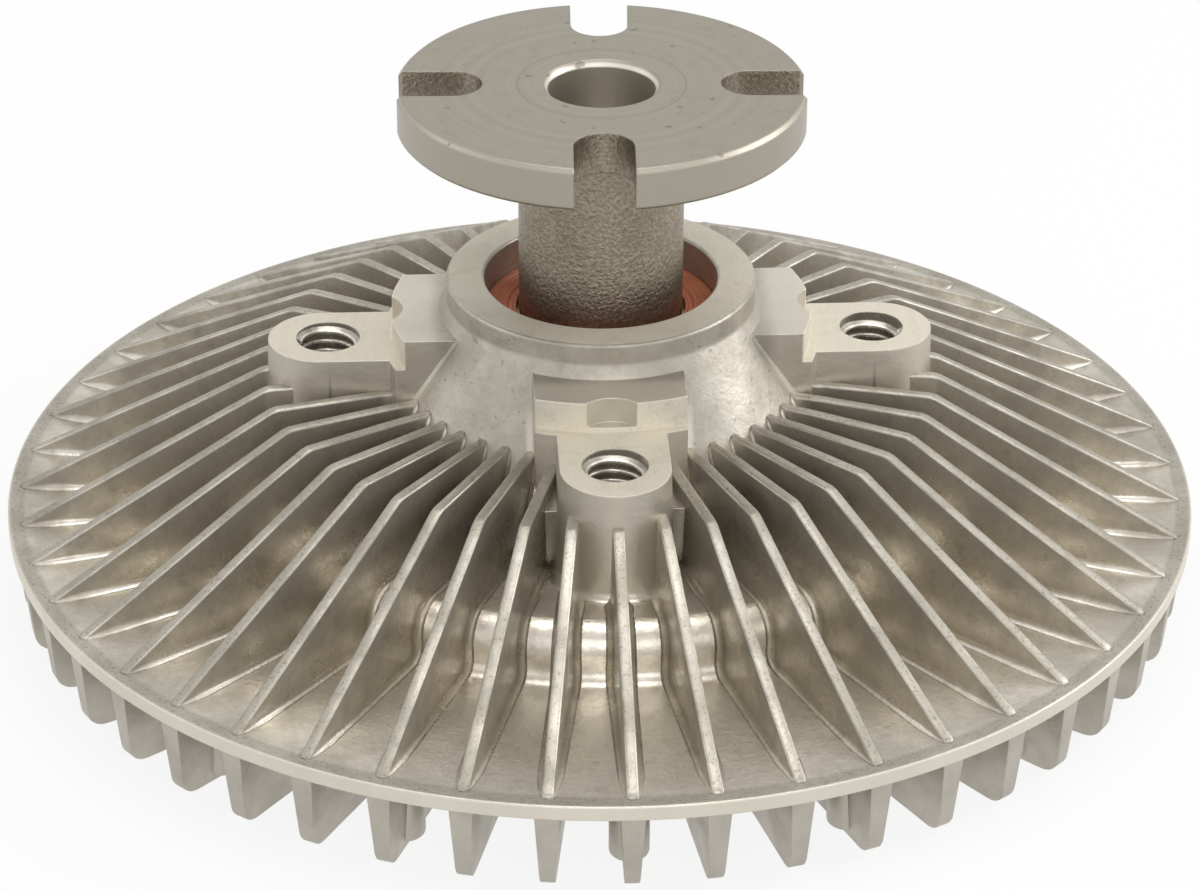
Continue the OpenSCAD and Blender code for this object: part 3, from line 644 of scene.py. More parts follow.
# %% Housing shell
HUB_BORE = 17.5
SHOULDER_RADIUS = 59.6
SHOULDER_ROUND = 4.5
RIM_BOTTOM = 68.1
RIM_EDGE = 0.25
ROOT_FILLET = 2.2
RING_RADIUS = 65.4
LIP_RADIUS = 60.2
LIP_TOP = 72.4
LIP_BOTTOM = 73.6
HUB_EDGE = 0.5
LIP_EDGE = 0.6
COVER_SEAT = (62.05, 69.4)
SEAL_STEP = (58.05, 68.6)
CHAMBER = (56.4, 61)
BEARING_STOP = (15, 53.4)


def arc_points(centre_r, centre_depth, radius, start, end, steps):
    """Points on an arc; the angle is measured from outwards, and up is positive."""
    points = []
    for i in range(steps + 1):
        angle = math.radians(start + (end - start) * i / steps)
        points.append((centre_r + radius * math.cos(angle), centre_depth - radius * math.sin(angle)))
    return points


shell_outline = [(HUB_BORE, BEARING_STOP[1])]
shell_outline += arc_points(HUB_BORE + HUB_EDGE, HUB_DEPTH + HUB_EDGE, HUB_EDGE, 180, 90, 3)
shell_outline += arc_points(HUB_RADIUS - HUB_EDGE, HUB_DEPTH + HUB_EDGE, HUB_EDGE, 90, 0, 3)
shell_outline += [(HUB_RADIUS, BAND_DEPTH - 0.5), (HUB_RADIUS + 0.18, BAND_DEPTH + 0.15)]
shell_outline += [(CONE_FOOT - 1.2, FLOOR_DEPTH - 1.96), (CONE_FOOT - 0.5, FLOOR_DEPTH - 0.5)]
shell_outline += [(CONE_FOOT + 0.6, FLOOR_DEPTH)]
shell_outline += arc_points(
    SHOULDER_RADIUS - SHOULDER_ROUND, FLOOR_DEPTH + SHOULDER_ROUND, SHOULDER_ROUND, 90, 0, 10)
shell_outline += arc_points(
    SHOULDER_RADIUS + ROOT_FILLET, RIM_DEPTH - ROOT_FILLET, ROOT_FILLET, 180, 270, 6)
shell_outline += arc_points(RIM_RADIUS - RIM_EDGE, RIM_DEPTH + RIM_EDGE, RIM_EDGE, 90, 0, 3)
shell_outline += arc_points(RIM_RADIUS - RIM_EDGE, RIM_BOTTOM - RIM_EDGE, RIM_EDGE, 0, -90, 3)
shell_outline += arc_points(
    RING_RADIUS + ROOT_FILLET, RIM_BOTTOM + ROOT_FILLET, ROOT_FILLET, 90, 180, 5)
shell_outline += arc_points(RING_RADIUS - LIP_EDGE, LIP_BOTTOM - LIP_EDGE, LIP_EDGE, 0, -90, 3)
shell_outline += [(LIP_RADIUS + 0.7, LIP_BOTTOM), (LIP_RADIUS + 0.1, LIP_BOTTOM - 0.3)]
shell_outline += [(LIP_RADIUS, LIP_TOP), (COVER_SEAT[0], LIP_TOP), COVER_SEAT]
shell_outline += [(SEAL_STEP[0], COVER_SEAT[1]), SEAL_STEP, (CHAMBER[0], SEAL_STEP[1])]
shell_outline += [CHAMBER, (BEARING_STOP[0], CHAMBER[1]), BEARING_STOP]


def finish_piece(name, bm, body="housing", slot="body_casting", replaced=("rear_body",)):
    """Turns a bmesh in millimetres into a piece in metres, which rides on a body if one is given."""
    bmesh.ops.scale(bm, vec=(MM, MM, MM), verts=bm.verts)
    piece = place_mesh(name, bm)
    piece.data.materials.append(finishes[slot])
    level_faces = piece.modifiers.new("level_faces", "WEIGHTED_NORMAL")
    level_faces.keep_sharp = True
    if body:
        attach(piece, body)
    if replaced:
        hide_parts(*replaced)
    print(name, len(piece.data.polygons), "faces")
    return piece


def soften(bm, angle):
    """Smooth shading with hard edges kept above an angle."""
    for face in bm.faces:
        face.smooth = True
    for edge in bm.edges:
        if len(edge.link_faces) == 2 and edge.calc_face_angle(0) > math.radians(angle):
            edge.smooth = False


def bevel(bm, edges, width, segments, clamp=False):
    """Rounds edges over a width."""
    bmesh.ops.bevel(
        bm, geom=edges, offset=width, offset_type="OFFSET", segments=segments, profile=0.5,
        affect="EDGES", material=-1, clamp_overlap=clamp)


def plate(points, move):
    """A face through the points, extruded along a vector."""
    bm = bmesh.new()
    face = bm.faces.new([bm.verts.new(point) for point in points])
    grown = bmesh.ops.extrude_face_region(bm, geom=[face])["geom"]
    moved = [g for g in grown if isinstance(g, bmesh.types.BMVert)]
    bmesh.ops.translate(bm, verts=moved, vec=move)
    return bm


def closed_loop(bm, points):
    """Edges of a closed loop through new points."""
    row = [bm.verts.new(point) for point in points]
    return [bm.edges.new((row[i], row[(i + 1) % len(row)])) for i in range(len(row))]


def lathe(outline, steps, angle):
    """Spins a closed outline of radius and height once round the axis."""
    bm = bmesh.new()
    closed_loop(bm, [(r, 0, height) for r, height in outline])
    bmesh.ops.spin(
        bm, geom=bm.verts[:] + bm.edges[:], axis=(0, 0, 1),
        angle=2 * math.pi, steps=steps, use_merge=True)
    bmesh.ops.remove_doubles(bm, verts=bm.verts, dist=0.001)
    bmesh.ops.recalc_face_normals(bm, faces=bm.faces)
    soften(bm, angle)
    return bm


bm = lathe([(r, up(depth)) for r, depth in shell_outline], 192, 40)
finish_piece("housing_shell", bm)

# %% [markdown]
# One rear fin is lofted: a cross-section with rounded crest edges and a fillet at its
# root is extruded from station to station along the radius, and each new row of points
# is moved to that station's width and height. The fin follows the cone, the floor, the
# shoulder and the rim below it. A plain tapered block would lose the bright fillet lines
# that show where a die-cast fin grows out of its wall.

# %% One rear fin
FIN_HALF = 0.85
FIN_DRAFT = math.tan(math.radians(1.6))
CREST_ROUND = 0.35
FIN_FILLET = 1.0
CONE_FILLET = 0.5
CONE_MEET = HUB_RADIUS + (CREST_DEPTH - BAND_DEPTH) / CONE_SLOPE
TIP_END = 34.0
TIP_LENGTH = 3.0
TIP_ROUND = 0.75
CHAMFER = 0.29
FILLET_ANGLES = (0, 20, 40, 56, 70, 80, 90)
ROOT_SINK = 0.012
ROOT_SPREAD = 0.0005
SHOULDER_CREST = 55.2
SHOULDER_CREST_STEP = 0.05
FILLET_CREST = 59.8
FILLET_CREST_STEP = 0.025


def shell_depth(r):
    """Depth of the shell's outer face at a radius."""
    if r < CONE_FOOT:
        return BAND_DEPTH + (r - HUB_RADIUS) * CONE_SLOPE
    if r < SHOULDER_RADIUS - SHOULDER_ROUND:
        return FLOOR_DEPTH
    if r < SHOULDER_RADIUS:
        run = r - SHOULDER_RADIUS + SHOULDER_ROUND
        return FLOOR_DEPTH + SHOULDER_ROUND - math.sqrt(SHOULDER_ROUND ** 2 - run ** 2)
    if r < SHOULDER_RADIUS + ROOT_FILLET:
        run = SHOULDER_RADIUS + ROOT_FILLET - r
        return RIM_DEPTH - ROOT_FILLET + math.sqrt(max(ROOT_FILLET ** 2 - run ** 2, 0))
    return RIM_DEPTH


def crest_depth(r):
    """Depth of the crest, which is level as far as the knee and then falls."""
    return CREST_DEPTH + max(r - KNEE_RADIUS, 0) * CREST_SLOPE


def fin_section(base, normal, crest_r, narrow=1.0, lower=0.0):
    """Points across the fin above one point of the shell, from one root to the other."""
    base_r, base_depth = base
    normal_r, normal_up = normal
    crest = min(crest_depth(crest_r) + lower, shell_depth(crest_r))
    tall = max(base_depth - crest_depth(base_r) - lower, 0)
    tip = min(max((TIP_END - crest_r) / TIP_LENGTH, 0), 1)
    edge = min(CREST_ROUND + tip * (TIP_ROUND - CREST_ROUND), 0.4 * tall)
    fillet = min(FIN_FILLET if base_r > CONE_FOOT else CONE_FILLET, 0.45 * tall)
    half = FIN_HALF * narrow
    foot = half + (tall - fillet) * FIN_DRAFT
    top = up(crest)
    side = [(crest_r, 0, top), (crest_r, half - edge, top)]
    side += [(crest_r, half - CHAMFER * edge, top - CHAMFER * edge), (crest_r, half, top - edge)]
    for angle in FILLET_ANGLES:
        turn = math.radians(angle)
        rise = fillet * (1 - math.sin(turn)) if angle < 90 else -ROOT_SINK
        out = foot + fillet * (1 - math.cos(turn)) + ROOT_SPREAD * angle
        side.append((base_r + normal_r * rise, out, up(base_depth) + normal_up * rise))
    return [(r, -y, z) for r, y, z in reversed(side[1:])] + side


def on_shell(r):
    """Point and upright normal of the shell where it is level or part of the cone."""
    if r < CONE_FOOT:
        lean = math.hypot(1, CONE_SLOPE)
        return (r, shell_depth(r)), (CONE_SLOPE / lean, 1 / lean)
    return (r, shell_depth(r)), (0, 1)


stations = []
for past, narrow in ((0.05, 0.4), (0.25, 0.7), (0.6, 0.9), (1.1, 1), (1.8, 1)):
    r = CONE_MEET + past
    stations.append((*on_shell(r), r, narrow))
for r in (33, 35, CONE_FOOT - 0.2, CONE_FOOT + 0.4, 41, 46, KNEE_RADIUS - 0.5, KNEE_RADIUS + 0.5, 54):
    stations.append((*on_shell(r), r))
arc_r = SHOULDER_RADIUS - SHOULDER_ROUND
for angle in (84, 72, 60, 48, 36, 24, 12, 2):
    turn = math.radians(angle)
    base = (arc_r + SHOULDER_ROUND * math.cos(turn), FLOOR_DEPTH + SHOULDER_ROUND * (1 - math.sin(turn)))
    crest_r = SHOULDER_CREST + (90 - angle) * SHOULDER_CREST_STEP
    stations.append((base, (math.cos(turn), math.sin(turn)), crest_r))
fillet_r = SHOULDER_RADIUS + ROOT_FILLET
for angle in (5, 25, 45, 65, 85):
    turn = math.radians(angle)
    base = (fillet_r - ROOT_FILLET * math.cos(turn), RIM_DEPTH - ROOT_FILLET * (1 - math.sin(turn)))
    stations.append((base, (math.cos(turn), math.sin(turn)), FILLET_CREST + angle * FILLET_CREST_STEP))
for r in (63.5, 68, 74, 80, 84, FIN_END_RADIUS - 0.9):
    stations.append((*on_shell(r), r))
for r, narrow, lower in ((0, 0.98, 0), (0.4, 0.9, 0.05), (0.75, 0.7, 0.2), (1.0, 0.4, 0.45)):
    stations.append((*on_shell(FIN_END_RADIUS + r), FIN_END_RADIUS + r, narrow, lower))


def loft_fin(rows):
    """One closed fin through the given stations."""
    bm = bmesh.new()
    ring = closed_loop(bm, fin_section(*rows[0]))
    bmesh.ops.contextual_create(bm, geom=ring)
    for station in rows[1:]:
        grown = bmesh.ops.extrude_edge_only(bm, edges=ring)["geom"]
        ring = [g for g in grown if isinstance(g, bmesh.types.BMEdge)]
        row = sorted({v for edge in ring for v in edge.verts}, key=lambda v: v.co.y)
        for vert, point in zip(row, fin_section(*station)):
            vert.co = point
    bmesh.ops.contextual_create(bm, geom=ring)
    bmesh.ops.recalc_face_normals(bm, faces=bm.faces)
    soften(bm, 50)
    print("one rear fin", len(bm.faces), "faces")
    return bm


# %% [markdown]
# The fins stand in four equal groups. Nine long fins reach the cone between two bosses,
# and three short ones start inside the round end of each boss, so that none of them
# crosses a tapped hole. The spin operator copies a fin round the axis.

# %% Ring of rear fins
FIN_COUNT = 48
FIN_STEP = 2 * math.pi / FIN_COUNT
LONG_FINS = 9
BOSS_FINS = 3
BOSS_FIN_START = 46.4


def fan_out(bm, first, copies, step):
    """Turns everything in a bmesh to a first angle and copies it at equal steps."""
    bmesh.ops.rotate(bm, matrix=Matrix.Rotation(first, 3, "Z"), verts=bm.verts)
    bmesh.ops.spin(
        bm, geom=bm.verts[:] + bm.edges[:] + bm.faces[:], axis=(0, 0, 1),
        angle=step * (copies - 1), steps=copies - 1, use_duplicate=True)


def ring_of(bm, count):
    """Copies everything in a bmesh round the axis."""
    fan_out(bm, 0, count, 2 * math.pi / count)


bm = loft_fin(stations)
fan_out(bm, 2 * FIN_STEP, LONG_FINS, FIN_STEP)
ring_of(bm, BOSS_COUNT)
finish_piece("rear_fins", bm)
boss_start = (*on_shell(BOSS_FIN_START), BOSS_FIN_START)
bm = loft_fin([boss_start] + [s for s in stations if s[2] > BOSS_FIN_START])
fan_out(bm, -FIN_STEP, BOSS_FINS, FIN_STEP)
ring_of(bm, BOSS_COUNT)
finish_piece("boss_fins", bm)

# %% [markdown]
# The front fins hang below the rim. Each is an outline with a round outer corner that is
# extruded to a plate, tapered towards its tip and bevelled. Every third one carries a
# round pad where an ejector pin pushed the casting out of its die.

# %% Front fins
LOWER_MARGIN = 0.7
LOWER_SLOPE = math.tan(math.radians(4))
LOWER_ROUND = 3.0
LOWER_TIP_HALF = 1.0
LOWER_ROOT_HALF = 1.7
LOWER_BEVEL = 0.9
lower_tall = FLANGE_TOP - RIM_BOTTOM
end_r = RIM_RADIUS - LOWER_MARGIN - lower_tall * LOWER_SLOPE
root_depth = RIM_BOTTOM - OVERLAP
lower_outline = [(RING_RADIUS - OVERLAP, root_depth), (RIM_RADIUS - LOWER_MARGIN, root_depth)]
lower_outline += [(RIM_RADIUS - LOWER_MARGIN, RIM_BOTTOM)]
lower_outline += arc_points(end_r - LOWER_ROUND, FLANGE_TOP - LOWER_ROUND, LOWER_ROUND, 0, -90, 6)
lower_outline += [(RING_RADIUS + 2 * ROOT_FILLET, FLANGE_TOP), (RING_RADIUS + ROOT_FILLET, LIP_BOTTOM)]
lower_outline += [(RING_RADIUS - OVERLAP, LIP_BOTTOM - OVERLAP)]

bm = plate([(r, -1, up(depth)) for r, depth in lower_outline], (0, 2, 0))
for vert in bm.verts:
    share = min(max(vert.co.z / lower_tall, 0), 1.1)
    vert.co.y *= LOWER_TIP_HALF + (LOWER_ROOT_HALF - LOWER_TIP_HALF) * share
bmesh.ops.recalc_face_normals(bm, faces=bm.faces)
free_edges = [
    e for e in bm.edges
    if e.calc_face_angle(0) > math.radians(30) and max(v.co.z for v in e.verts) < lower_tall + 0.1]
bevel(bm, free_edges, LOWER_BEVEL, 4, clamp=True)
soften(bm, 50)
ring_of(bm, FIN_COUNT)
finish_piece("front_fins", bm)

# %% Ejector pads
PAD_RADIUS = 2.85
PAD_CIRCLE = 80.7
PAD_SHORT = 0.7
PAD_BEVEL = 0.7


def cylinder(radius, x, low, high, segments=64):
    """An upright cylinder between two heights."""
    bm = bmesh.new()
    bmesh.ops.create_cone(
        bm, cap_ends=True, segments=segments, radius1=radius, radius2=radius, depth=high - low,
        matrix=Matrix.Translation((x, 0, (low + high) / 2)))
    return bm


bm = cylinder(PAD_RADIUS, PAD_CIRCLE, PAD_SHORT, lower_tall + OVERLAP, 32)
pad_rim = [e for e in bm.edges if all(v.co.z < PAD_SHORT + 0.01 for v in e.verts)]
bevel(bm, pad_rim, PAD_BEVEL, 3)
soften(bm, 40)
ring_of(bm, FIN_COUNT // 3)
finish_piece("ejector_pads", bm)

# %% [markdown]
# Four bosses carry the fan. Each has a machined pad with a tapped hole, and behind it a
# buttress whose upright wall centres the fan. Overlapping simple solids are joined and
# cut with the Boolean modifier, because the round pocket in the wall crosses three faces
# at once, and then every sharp edge of the result is bevelled a little.

# %% Boolean helper


def combine(base, tool, operation):
    """Applies one Boolean to the base and removes the tool."""
    modifier = base.modifiers.new("combine", "BOOLEAN")
    modifier.operation = operation
    modifier.solver = "EXACT"
    modifier.object = tool
    graph = bpy.context.evaluated_depsgraph_get()
    result = bpy.data.meshes.new_from_object(base.evaluated_get(graph))
    base.modifiers.clear()
    base.data = result
    bpy.data.objects.remove(tool)


# %% Fan bosses
NOSE_DEPTH = 36.3
POCKET_RADIUS = 5.0
POCKET_CENTRE = 34.85
POCKET_FLOOR = 40.2
NOSE_STEP = 1.3
NOSE_SECTOR = math.radians(80)
BOSS_DRAFT = 0.6
BOSS_BEVEL = 0.3
FOOT_FILLET = 1.5
FAN_HOLE = 4.7625
FAN_HOLE_DEEP = 14
CUT_TOP = up(30)
WEB_DROP = 2.6
WEB_TURN = math.radians(15)
web_plan = ((HUB_RADIUS, -1), (WEB_REACH, -1), (WEB_REACH, 1), (HUB_RADIUS, 1))
base_low = up(FLOOR_DEPTH + OVERLAP)


def widen_foot(bm):
    """Gives a boss its draft: the foot is moved outwards from the boss's middle."""
    middle = BOSS_REACH - BOSS_HALF
    for vert in bm.verts:
        if vert.co.z > base_low + 0.01:
            continue
        grow = 1 + BOSS_DRAFT / BOSS_HALF
        vert.co.y *= grow
        if vert.co.x > middle + 0.01:
            vert.co.x = middle + (vert.co.x - middle) * grow


bm = bmesh.new()
section = [(HUB_BORE + OVERLAP, NOSE_DEPTH), (PILOT_RADIUS, NOSE_DEPTH), (PILOT_RADIUS, PAD_DEPTH)]
section += [(PILOT_RADIUS + NOSE_STEP, PAD_DEPTH), (PILOT_RADIUS + NOSE_STEP, FLOOR_DEPTH + OVERLAP)]
section += [(HUB_BORE + OVERLAP, FLOOR_DEPTH + OVERLAP)]
face = bm.faces.new([bm.verts.new((r, 0, up(depth))) for r, depth in section])
bmesh.ops.rotate(bm, matrix=Matrix.Rotation(-NOSE_SECTOR / 2, 3, "Z"), verts=bm.verts)
bmesh.ops.spin(bm, geom=[face], axis=(0, 0, 1), angle=NOSE_SECTOR, steps=40)
bmesh.ops.recalc_face_normals(bm, faces=bm.faces)
for side in (-1, 1):
    cut = bmesh.ops.bisect_plane(
        bm, geom=bm.verts[:] + bm.edges[:] + bm.faces[:], plane_co=(0, side * BUTTRESS_HALF, 0),
        plane_no=(0, side, 0), clear_outer=True)
    rim_edges = [g for g in cut["geom_cut"] if isinstance(g, bmesh.types.BMEdge)]
    bmesh.ops.contextual_create(bm, geom=rim_edges)
bmesh.ops.recalc_face_normals(bm, faces=bm.faces)
boss = place_mesh("boss_work", bm)

bm = cylinder(BOSS_HALF, BOSS_REACH - BOSS_HALF, base_low, up(PAD_DEPTH) - 0.001, 72)
widen_foot(bm)
combine(boss, place_mesh("boss_end", bm), "UNION")
bm = bmesh.new()
bmesh.ops.create_cube(bm, size=1)
run = BOSS_REACH - BOSS_HALF - HUB_RADIUS
bmesh.ops.scale(bm, vec=(run, 2 * BOSS_HALF, up(PAD_DEPTH) - base_low), verts=bm.verts)
bmesh.ops.translate(
    bm, vec=(HUB_RADIUS + run / 2, 0, (up(PAD_DEPTH) + base_low) / 2), verts=bm.verts)
widen_foot(bm)
combine(boss, place_mesh("boss_run", bm), "UNION")
web_corners = [(r, side * r * math.tan(WEB_TURN), base_low) for r, side in web_plan]
bm = plate(web_corners, (0, 0, up(CREST_DEPTH + WEB_DROP) - base_low))
bmesh.ops.recalc_face_normals(bm, faces=bm.faces)
combine(boss, place_mesh("boss_web", bm), "UNION")
bm = cylinder(POCKET_RADIUS, POCKET_CENTRE, up(POCKET_FLOOR), CUT_TOP)
combine(boss, place_mesh("bolt_room", bm), "DIFFERENCE")
bm = cylinder(FAN_HOLE, BOLT_CIRCLE, up(PAD_DEPTH + FAN_HOLE_DEEP), CUT_TOP, 48)
combine(boss, place_mesh("fan_hole", bm), "DIFFERENCE")

bm = bmesh.new()
bm.from_mesh(boss.data)
bpy.data.objects.remove(boss)
bmesh.ops.remove_doubles(bm, verts=bm.verts, dist=0.003)
bmesh.ops.dissolve_limit(
    bm, angle_limit=math.radians(0.5), verts=bm.verts, edges=bm.edges)
sharp = [
    e for e in bm.edges
    if e.calc_face_angle(0) > math.radians(28) and min(v.co.z for v in e.verts) > base_low + 0.5]
bevel(bm, sharp, BOSS_BEVEL, 2, clamp=True)
soften(bm, 40)
ring_of(bm, BOSS_COUNT)
finish_piece("fan_bosses", bm)

# %% [markdown]
# A casting has no sharp inner corners, because metal would tear there as it cools. Where
# the buttresses run out of the cone, a hollow strip is bridged from section to section:
# at each depth a small circle touches both the flat side and the round cone. Round the
# foot of each boss a hollow corner is spun by half a turn.

# %% Fillets of the buttresses
BUTTRESS_FILLET = 0.9
FILLET_STEPS = 6
FILLET_DEPTHS = (36.4, 38, 40, 42, 44, 46, 48)


def fillet_section(depth):
    """Corner points of the strip between the cone and a buttress side at one depth."""
    wall_r = HUB_RADIUS + max(depth - BAND_DEPTH, 0) / CONE_SLOPE
    centre_y = BUTTRESS_HALF + BUTTRESS_FILLET
    centre_x = math.sqrt((wall_r + BUTTRESS_FILLET) ** 2 - centre_y ** 2)
    end = math.atan2(-centre_y, -centre_x)
    points = []
    for i in range(FILLET_STEPS + 1):
        angle = -math.pi / 2 + (end + math.pi / 2) * i / FILLET_STEPS
        x = centre_x + BUTTRESS_FILLET * math.cos(angle)
        points.append((x, centre_y + BUTTRESS_FILLET * math.sin(angle), up(depth)))
    inner_x = math.sqrt(wall_r ** 2 - BUTTRESS_HALF ** 2)
    points.append((inner_x - 1, BUTTRESS_HALF - 0.6, up(depth)))
    return points


def bridge_sections(bm, sections):
    """Bridges each closed section of points to the one before and caps both ends."""
    last_ring = None
    for points in sections:
        ring = closed_loop(bm, points)
        if last_ring is None:
            bmesh.ops.contextual_create(bm, geom=ring)
        else:
            bmesh.ops.bridge_loops(bm, edges=last_ring + ring)
        last_ring = ring
    bmesh.ops.contextual_create(bm, geom=last_ring)


bm = bmesh.new()
bridge_sections(bm, [fillet_section(depth) for depth in FILLET_DEPTHS])
bmesh.ops.mirror(bm, geom=bm.verts[:] + bm.edges[:] + bm.faces[:], axis="Y", merge_dist=0.0001)

foot_r = BOSS_HALF + BOSS_DRAFT - 0.1
foot_outline = [(foot_r - 0.6, FLOOR_DEPTH + 0.3), (foot_r - 0.6, FLOOR_DEPTH - FOOT_FILLET)]
foot_outline += arc_points(
    foot_r + FOOT_FILLET, FLOOR_DEPTH - FOOT_FILLET, FOOT_FILLET, 180, 270, FILLET_STEPS)
foot_outline += [(foot_r + FOOT_FILLET, FLOOR_DEPTH + 0.3)]
boss_x = BOSS_REACH - BOSS_HALF
foot_face = bm.faces.new([bm.verts.new((boss_x, -r, up(depth))) for r, depth in foot_outline])
bmesh.ops.spin(bm, geom=[foot_face], cent=(boss_x, 0, 0), axis=(0, 0, 1), angle=math.pi, steps=28)
bmesh.ops.recalc_face_normals(bm, faces=bm.faces)
soften(bm, 40)
ring_of(bm, BOSS_COUNT)
finish_piece("casting_fillets", bm)

# %% [markdown]
# The tapped holes have a coarse thread. A small four-sided ridge is spun upwards in a
# screw: the spin operator adds a step along the axis with every step of turn, which is
# how a tap cuts the real one.

# %% Threads in the fan holes
THREAD_PITCH = 1.5875
THREAD_TURNS = 7
STEPS_PER_TURN = 32
THREAD_DROP = 1.65
bm = bmesh.new()
ridge = [(FAN_HOLE + 0.1, 0.05), (FAN_HOLE - 0.8, 0.6), (FAN_HOLE - 0.8, 0.95), (FAN_HOLE + 0.1, 1.5)]
start = up(PAD_DEPTH) - THREAD_TURNS * THREAD_PITCH - THREAD_DROP
ridge_face = bm.faces.new([bm.verts.new((BOLT_CIRCLE + r, 0, start + h)) for r, h in ridge])
bmesh.ops.spin(
    bm, geom=[ridge_face], cent=(BOLT_CIRCLE, 0, 0), axis=(0, 0, 1),
    dvec=(0, 0, THREAD_PITCH / STEPS_PER_TURN), angle=2 * math.pi * THREAD_TURNS,
    steps=STEPS_PER_TURN * THREAD_TURNS)
bmesh.ops.recalc_face_normals(bm, faces=bm.faces)
soften(bm, 40)
ring_of(bm, BOSS_COUNT)
finish_piece("fan_threads", bm, replaced=())

# %% [markdown]
# The rear bearing seal is a moulded silicone disc. On the real clutch it has fine rings
# and a lip beside the shaft, so its section is drawn with small ridges and spun.

# %% Rear seal
seal_low, seal_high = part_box("rear_bearing_seal")
seal_r = seal_high[0] / MM
seal_top = seal_high[2] / MM
seal_base = seal_low[2] / MM
SEAL_BORE = 12.85
SEAL_FLAT = 16.6
RIDGE_TALL = 0.22
RIDGE_RADII = (16.2, 15.4, 14.6)
SEAL_LIP = ((13.9, 0.4), (13.4, 0.4), (13.1, 0.1), (SEAL_BORE, 0.1))
seal_outline = [(SEAL_BORE, seal_base), (seal_r, seal_base), (seal_r, seal_top - 0.2)]
seal_outline += [(seal_r - 0.2, seal_top), (SEAL_FLAT, seal_top)]
for ridge_r in RIDGE_RADII:
    seal_outline += [(ridge_r + 0.2, seal_top - RIDGE_TALL), (ridge_r - 0.1, seal_top - RIDGE_TALL)]
    seal_outline += [(ridge_r - 0.2, seal_top), (ridge_r - 0.4, seal_top)]
seal_outline += [(r, seal_top - drop) for r, drop in SEAL_LIP]
bm = lathe(seal_outline, 128, 30)
finish_piece("rear_seal", bm, "housing", "seal_silicone", ("rear_bearing_seal",))

# %% [markdown]
# Two small screws hold the coil's bracket on the front. A screw head is a short cylinder
# whose free edge is bevelled to a dome, with a cross recess cut by two thin blocks.

# %% Bracket screws
SCREW_X = 4.4
HEAD_RADIUS = 2.2
HEAD_TALL = 1.4
SHANK_RADIUS = 1.2
RECESS = (2.5, 0.5, 1.5)
RECESS_TURN = 0.4
DOME = 0.8
screw_low, screw_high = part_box("bracket_screws")
head_low = screw_low[2] / MM
screw_y = (screw_low[1] + screw_high[1]) / 2 / MM
bm = cylinder(HEAD_RADIUS, 0, head_low, head_low + HEAD_TALL, 40)
dome = [e for e in bm.edges if all(v.co.z < head_low + 0.01 for v in e.verts)]
bevel(bm, dome, DOME, 5)
screw = place_mesh("screw_work", bm)
for turn in (0, math.pi / 2):
    bm = bmesh.new()
    bmesh.ops.create_cube(bm, size=1)
    bmesh.ops.scale(bm, vec=RECESS, verts=bm.verts)
    bmesh.ops.rotate(bm, matrix=Matrix.Rotation(turn + RECESS_TURN, 3, "Z"), verts=bm.verts)
    bmesh.ops.translate(bm, vec=(0, 0, head_low), verts=bm.verts)
    combine(screw, place_mesh("screw_recess", bm), "DIFFERENCE")
bm = cylinder(SHANK_RADIUS, 0, head_low + HEAD_TALL - 0.1, screw_high[2] / MM, 24)
combine(screw, place_mesh("screw_shank", bm), "UNION")
bm = bmesh.new()
for x in (-SCREW_X, SCREW_X):
    start = len(bm.verts)
    bm.from_mesh(screw.data)
    bm.verts.ensure_lookup_table()
    bmesh.ops.translate(bm, vec=(x, screw_y, 0), verts=bm.verts[start:])
bpy.data.objects.remove(screw)
soften(bm, 35)
finish_piece("bracket_screw_pair", bm, "housing", "sheet_steel", ("bracket_screws",))

# %% [markdown]
# The coil is a flat spiral strip of two metals. Its inner end sits in the slot of the valve
# shaft and its outer end in the bracket, so it winds up as the valve turns. A small section
# with broken edges is set up at every step of the path and bridged to the one before.

# %% Coil
COIL_HALF = 0.45
COIL_EDGE = 0.12
COIL_START = 5.0
COIL_PITCH = 3.0
COIL_BEND = 1.4
COIL_FIRST = 18
COIL_LAST = 1525
COIL_STEP = 5.5
BEND_STEPS = 6
INNER_TAB = (-2.5, 0, 2)
OUTER_TAB = (20.5, 21.75)


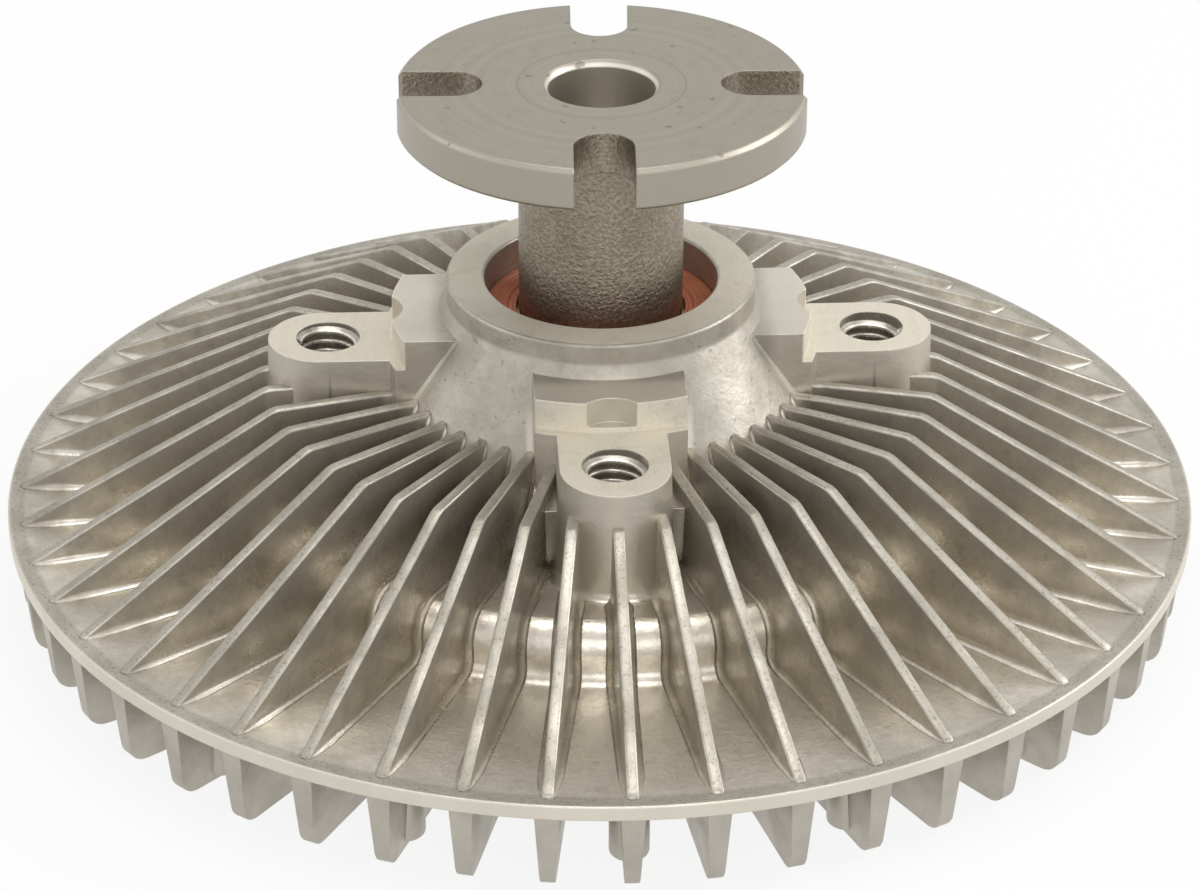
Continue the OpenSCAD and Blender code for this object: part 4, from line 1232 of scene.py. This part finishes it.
def coil_point(angle):
    """Point of the spiral at an angle in degrees."""
    r = COIL_START + COIL_PITCH * angle / 360
    return r * math.cos(math.radians(angle)), r * math.sin(math.radians(angle))


def bend_points(x, y, start, end):
    """Points of a quarter bend about a centre."""
    turns = [math.radians(start + (end - start) * i / BEND_STEPS) for i in range(BEND_STEPS + 1)]
    return [(x + COIL_BEND * math.cos(t), y + COIL_BEND * math.sin(t)) for t in turns]


straight = COIL_START - COIL_BEND
path = [(x, 0, 1) for x in INNER_TAB]
path += [(x, y, 1) for x, y in bend_points(straight, COIL_BEND, -90, 0)]
spiral_steps = round((COIL_LAST - COIL_FIRST) / COIL_STEP)
for i in range(spiral_steps + 1):
    angle = COIL_FIRST + (COIL_LAST - COIL_FIRST) * i / spiral_steps
    path.append((*coil_point(angle), 1 - i / spiral_steps))
last_x, last_y = coil_point(COIL_LAST)
path += [(x, y, 0) for x, y in bend_points(last_x, last_y + COIL_BEND, -90, -180)[1:]]
path += [(last_x - COIL_BEND, y, 0) for y in OUTER_TAB]

coil_low, coil_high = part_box("bimetal_coil")
low = coil_low[2] / MM
high = coil_high[2] / MM
inset = COIL_HALF - COIL_EDGE
coil_section = [(COIL_HALF, low + COIL_EDGE), (COIL_HALF, high - COIL_EDGE)]
coil_section += [(inset, high), (-inset, high)]
coil_section += [(-COIL_HALF, high - COIL_EDGE), (-COIL_HALF, low + COIL_EDGE)]
coil_section += [(-inset, low), (inset, low)]
sections = []
shares = []
for i, (x, y, share) in enumerate(path):
    before = path[max(i - 1, 0)]
    after = path[min(i + 1, len(path) - 1)]
    heading = Vector((after[0] - before[0], after[1] - before[1])).normalized()
    sections.append([(x - heading.y * out, y + heading.x * out, height) for out, height in coil_section])
    shares += [share] * len(coil_section)
bm = bmesh.new()
bridge_sections(bm, sections)
bmesh.ops.recalc_face_normals(bm, faces=bm.faces)
soften(bm, 35)
coil = finish_piece("coil_spiral", bm, None, "coil_strip", ("bimetal_coil",))
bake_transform(coil)
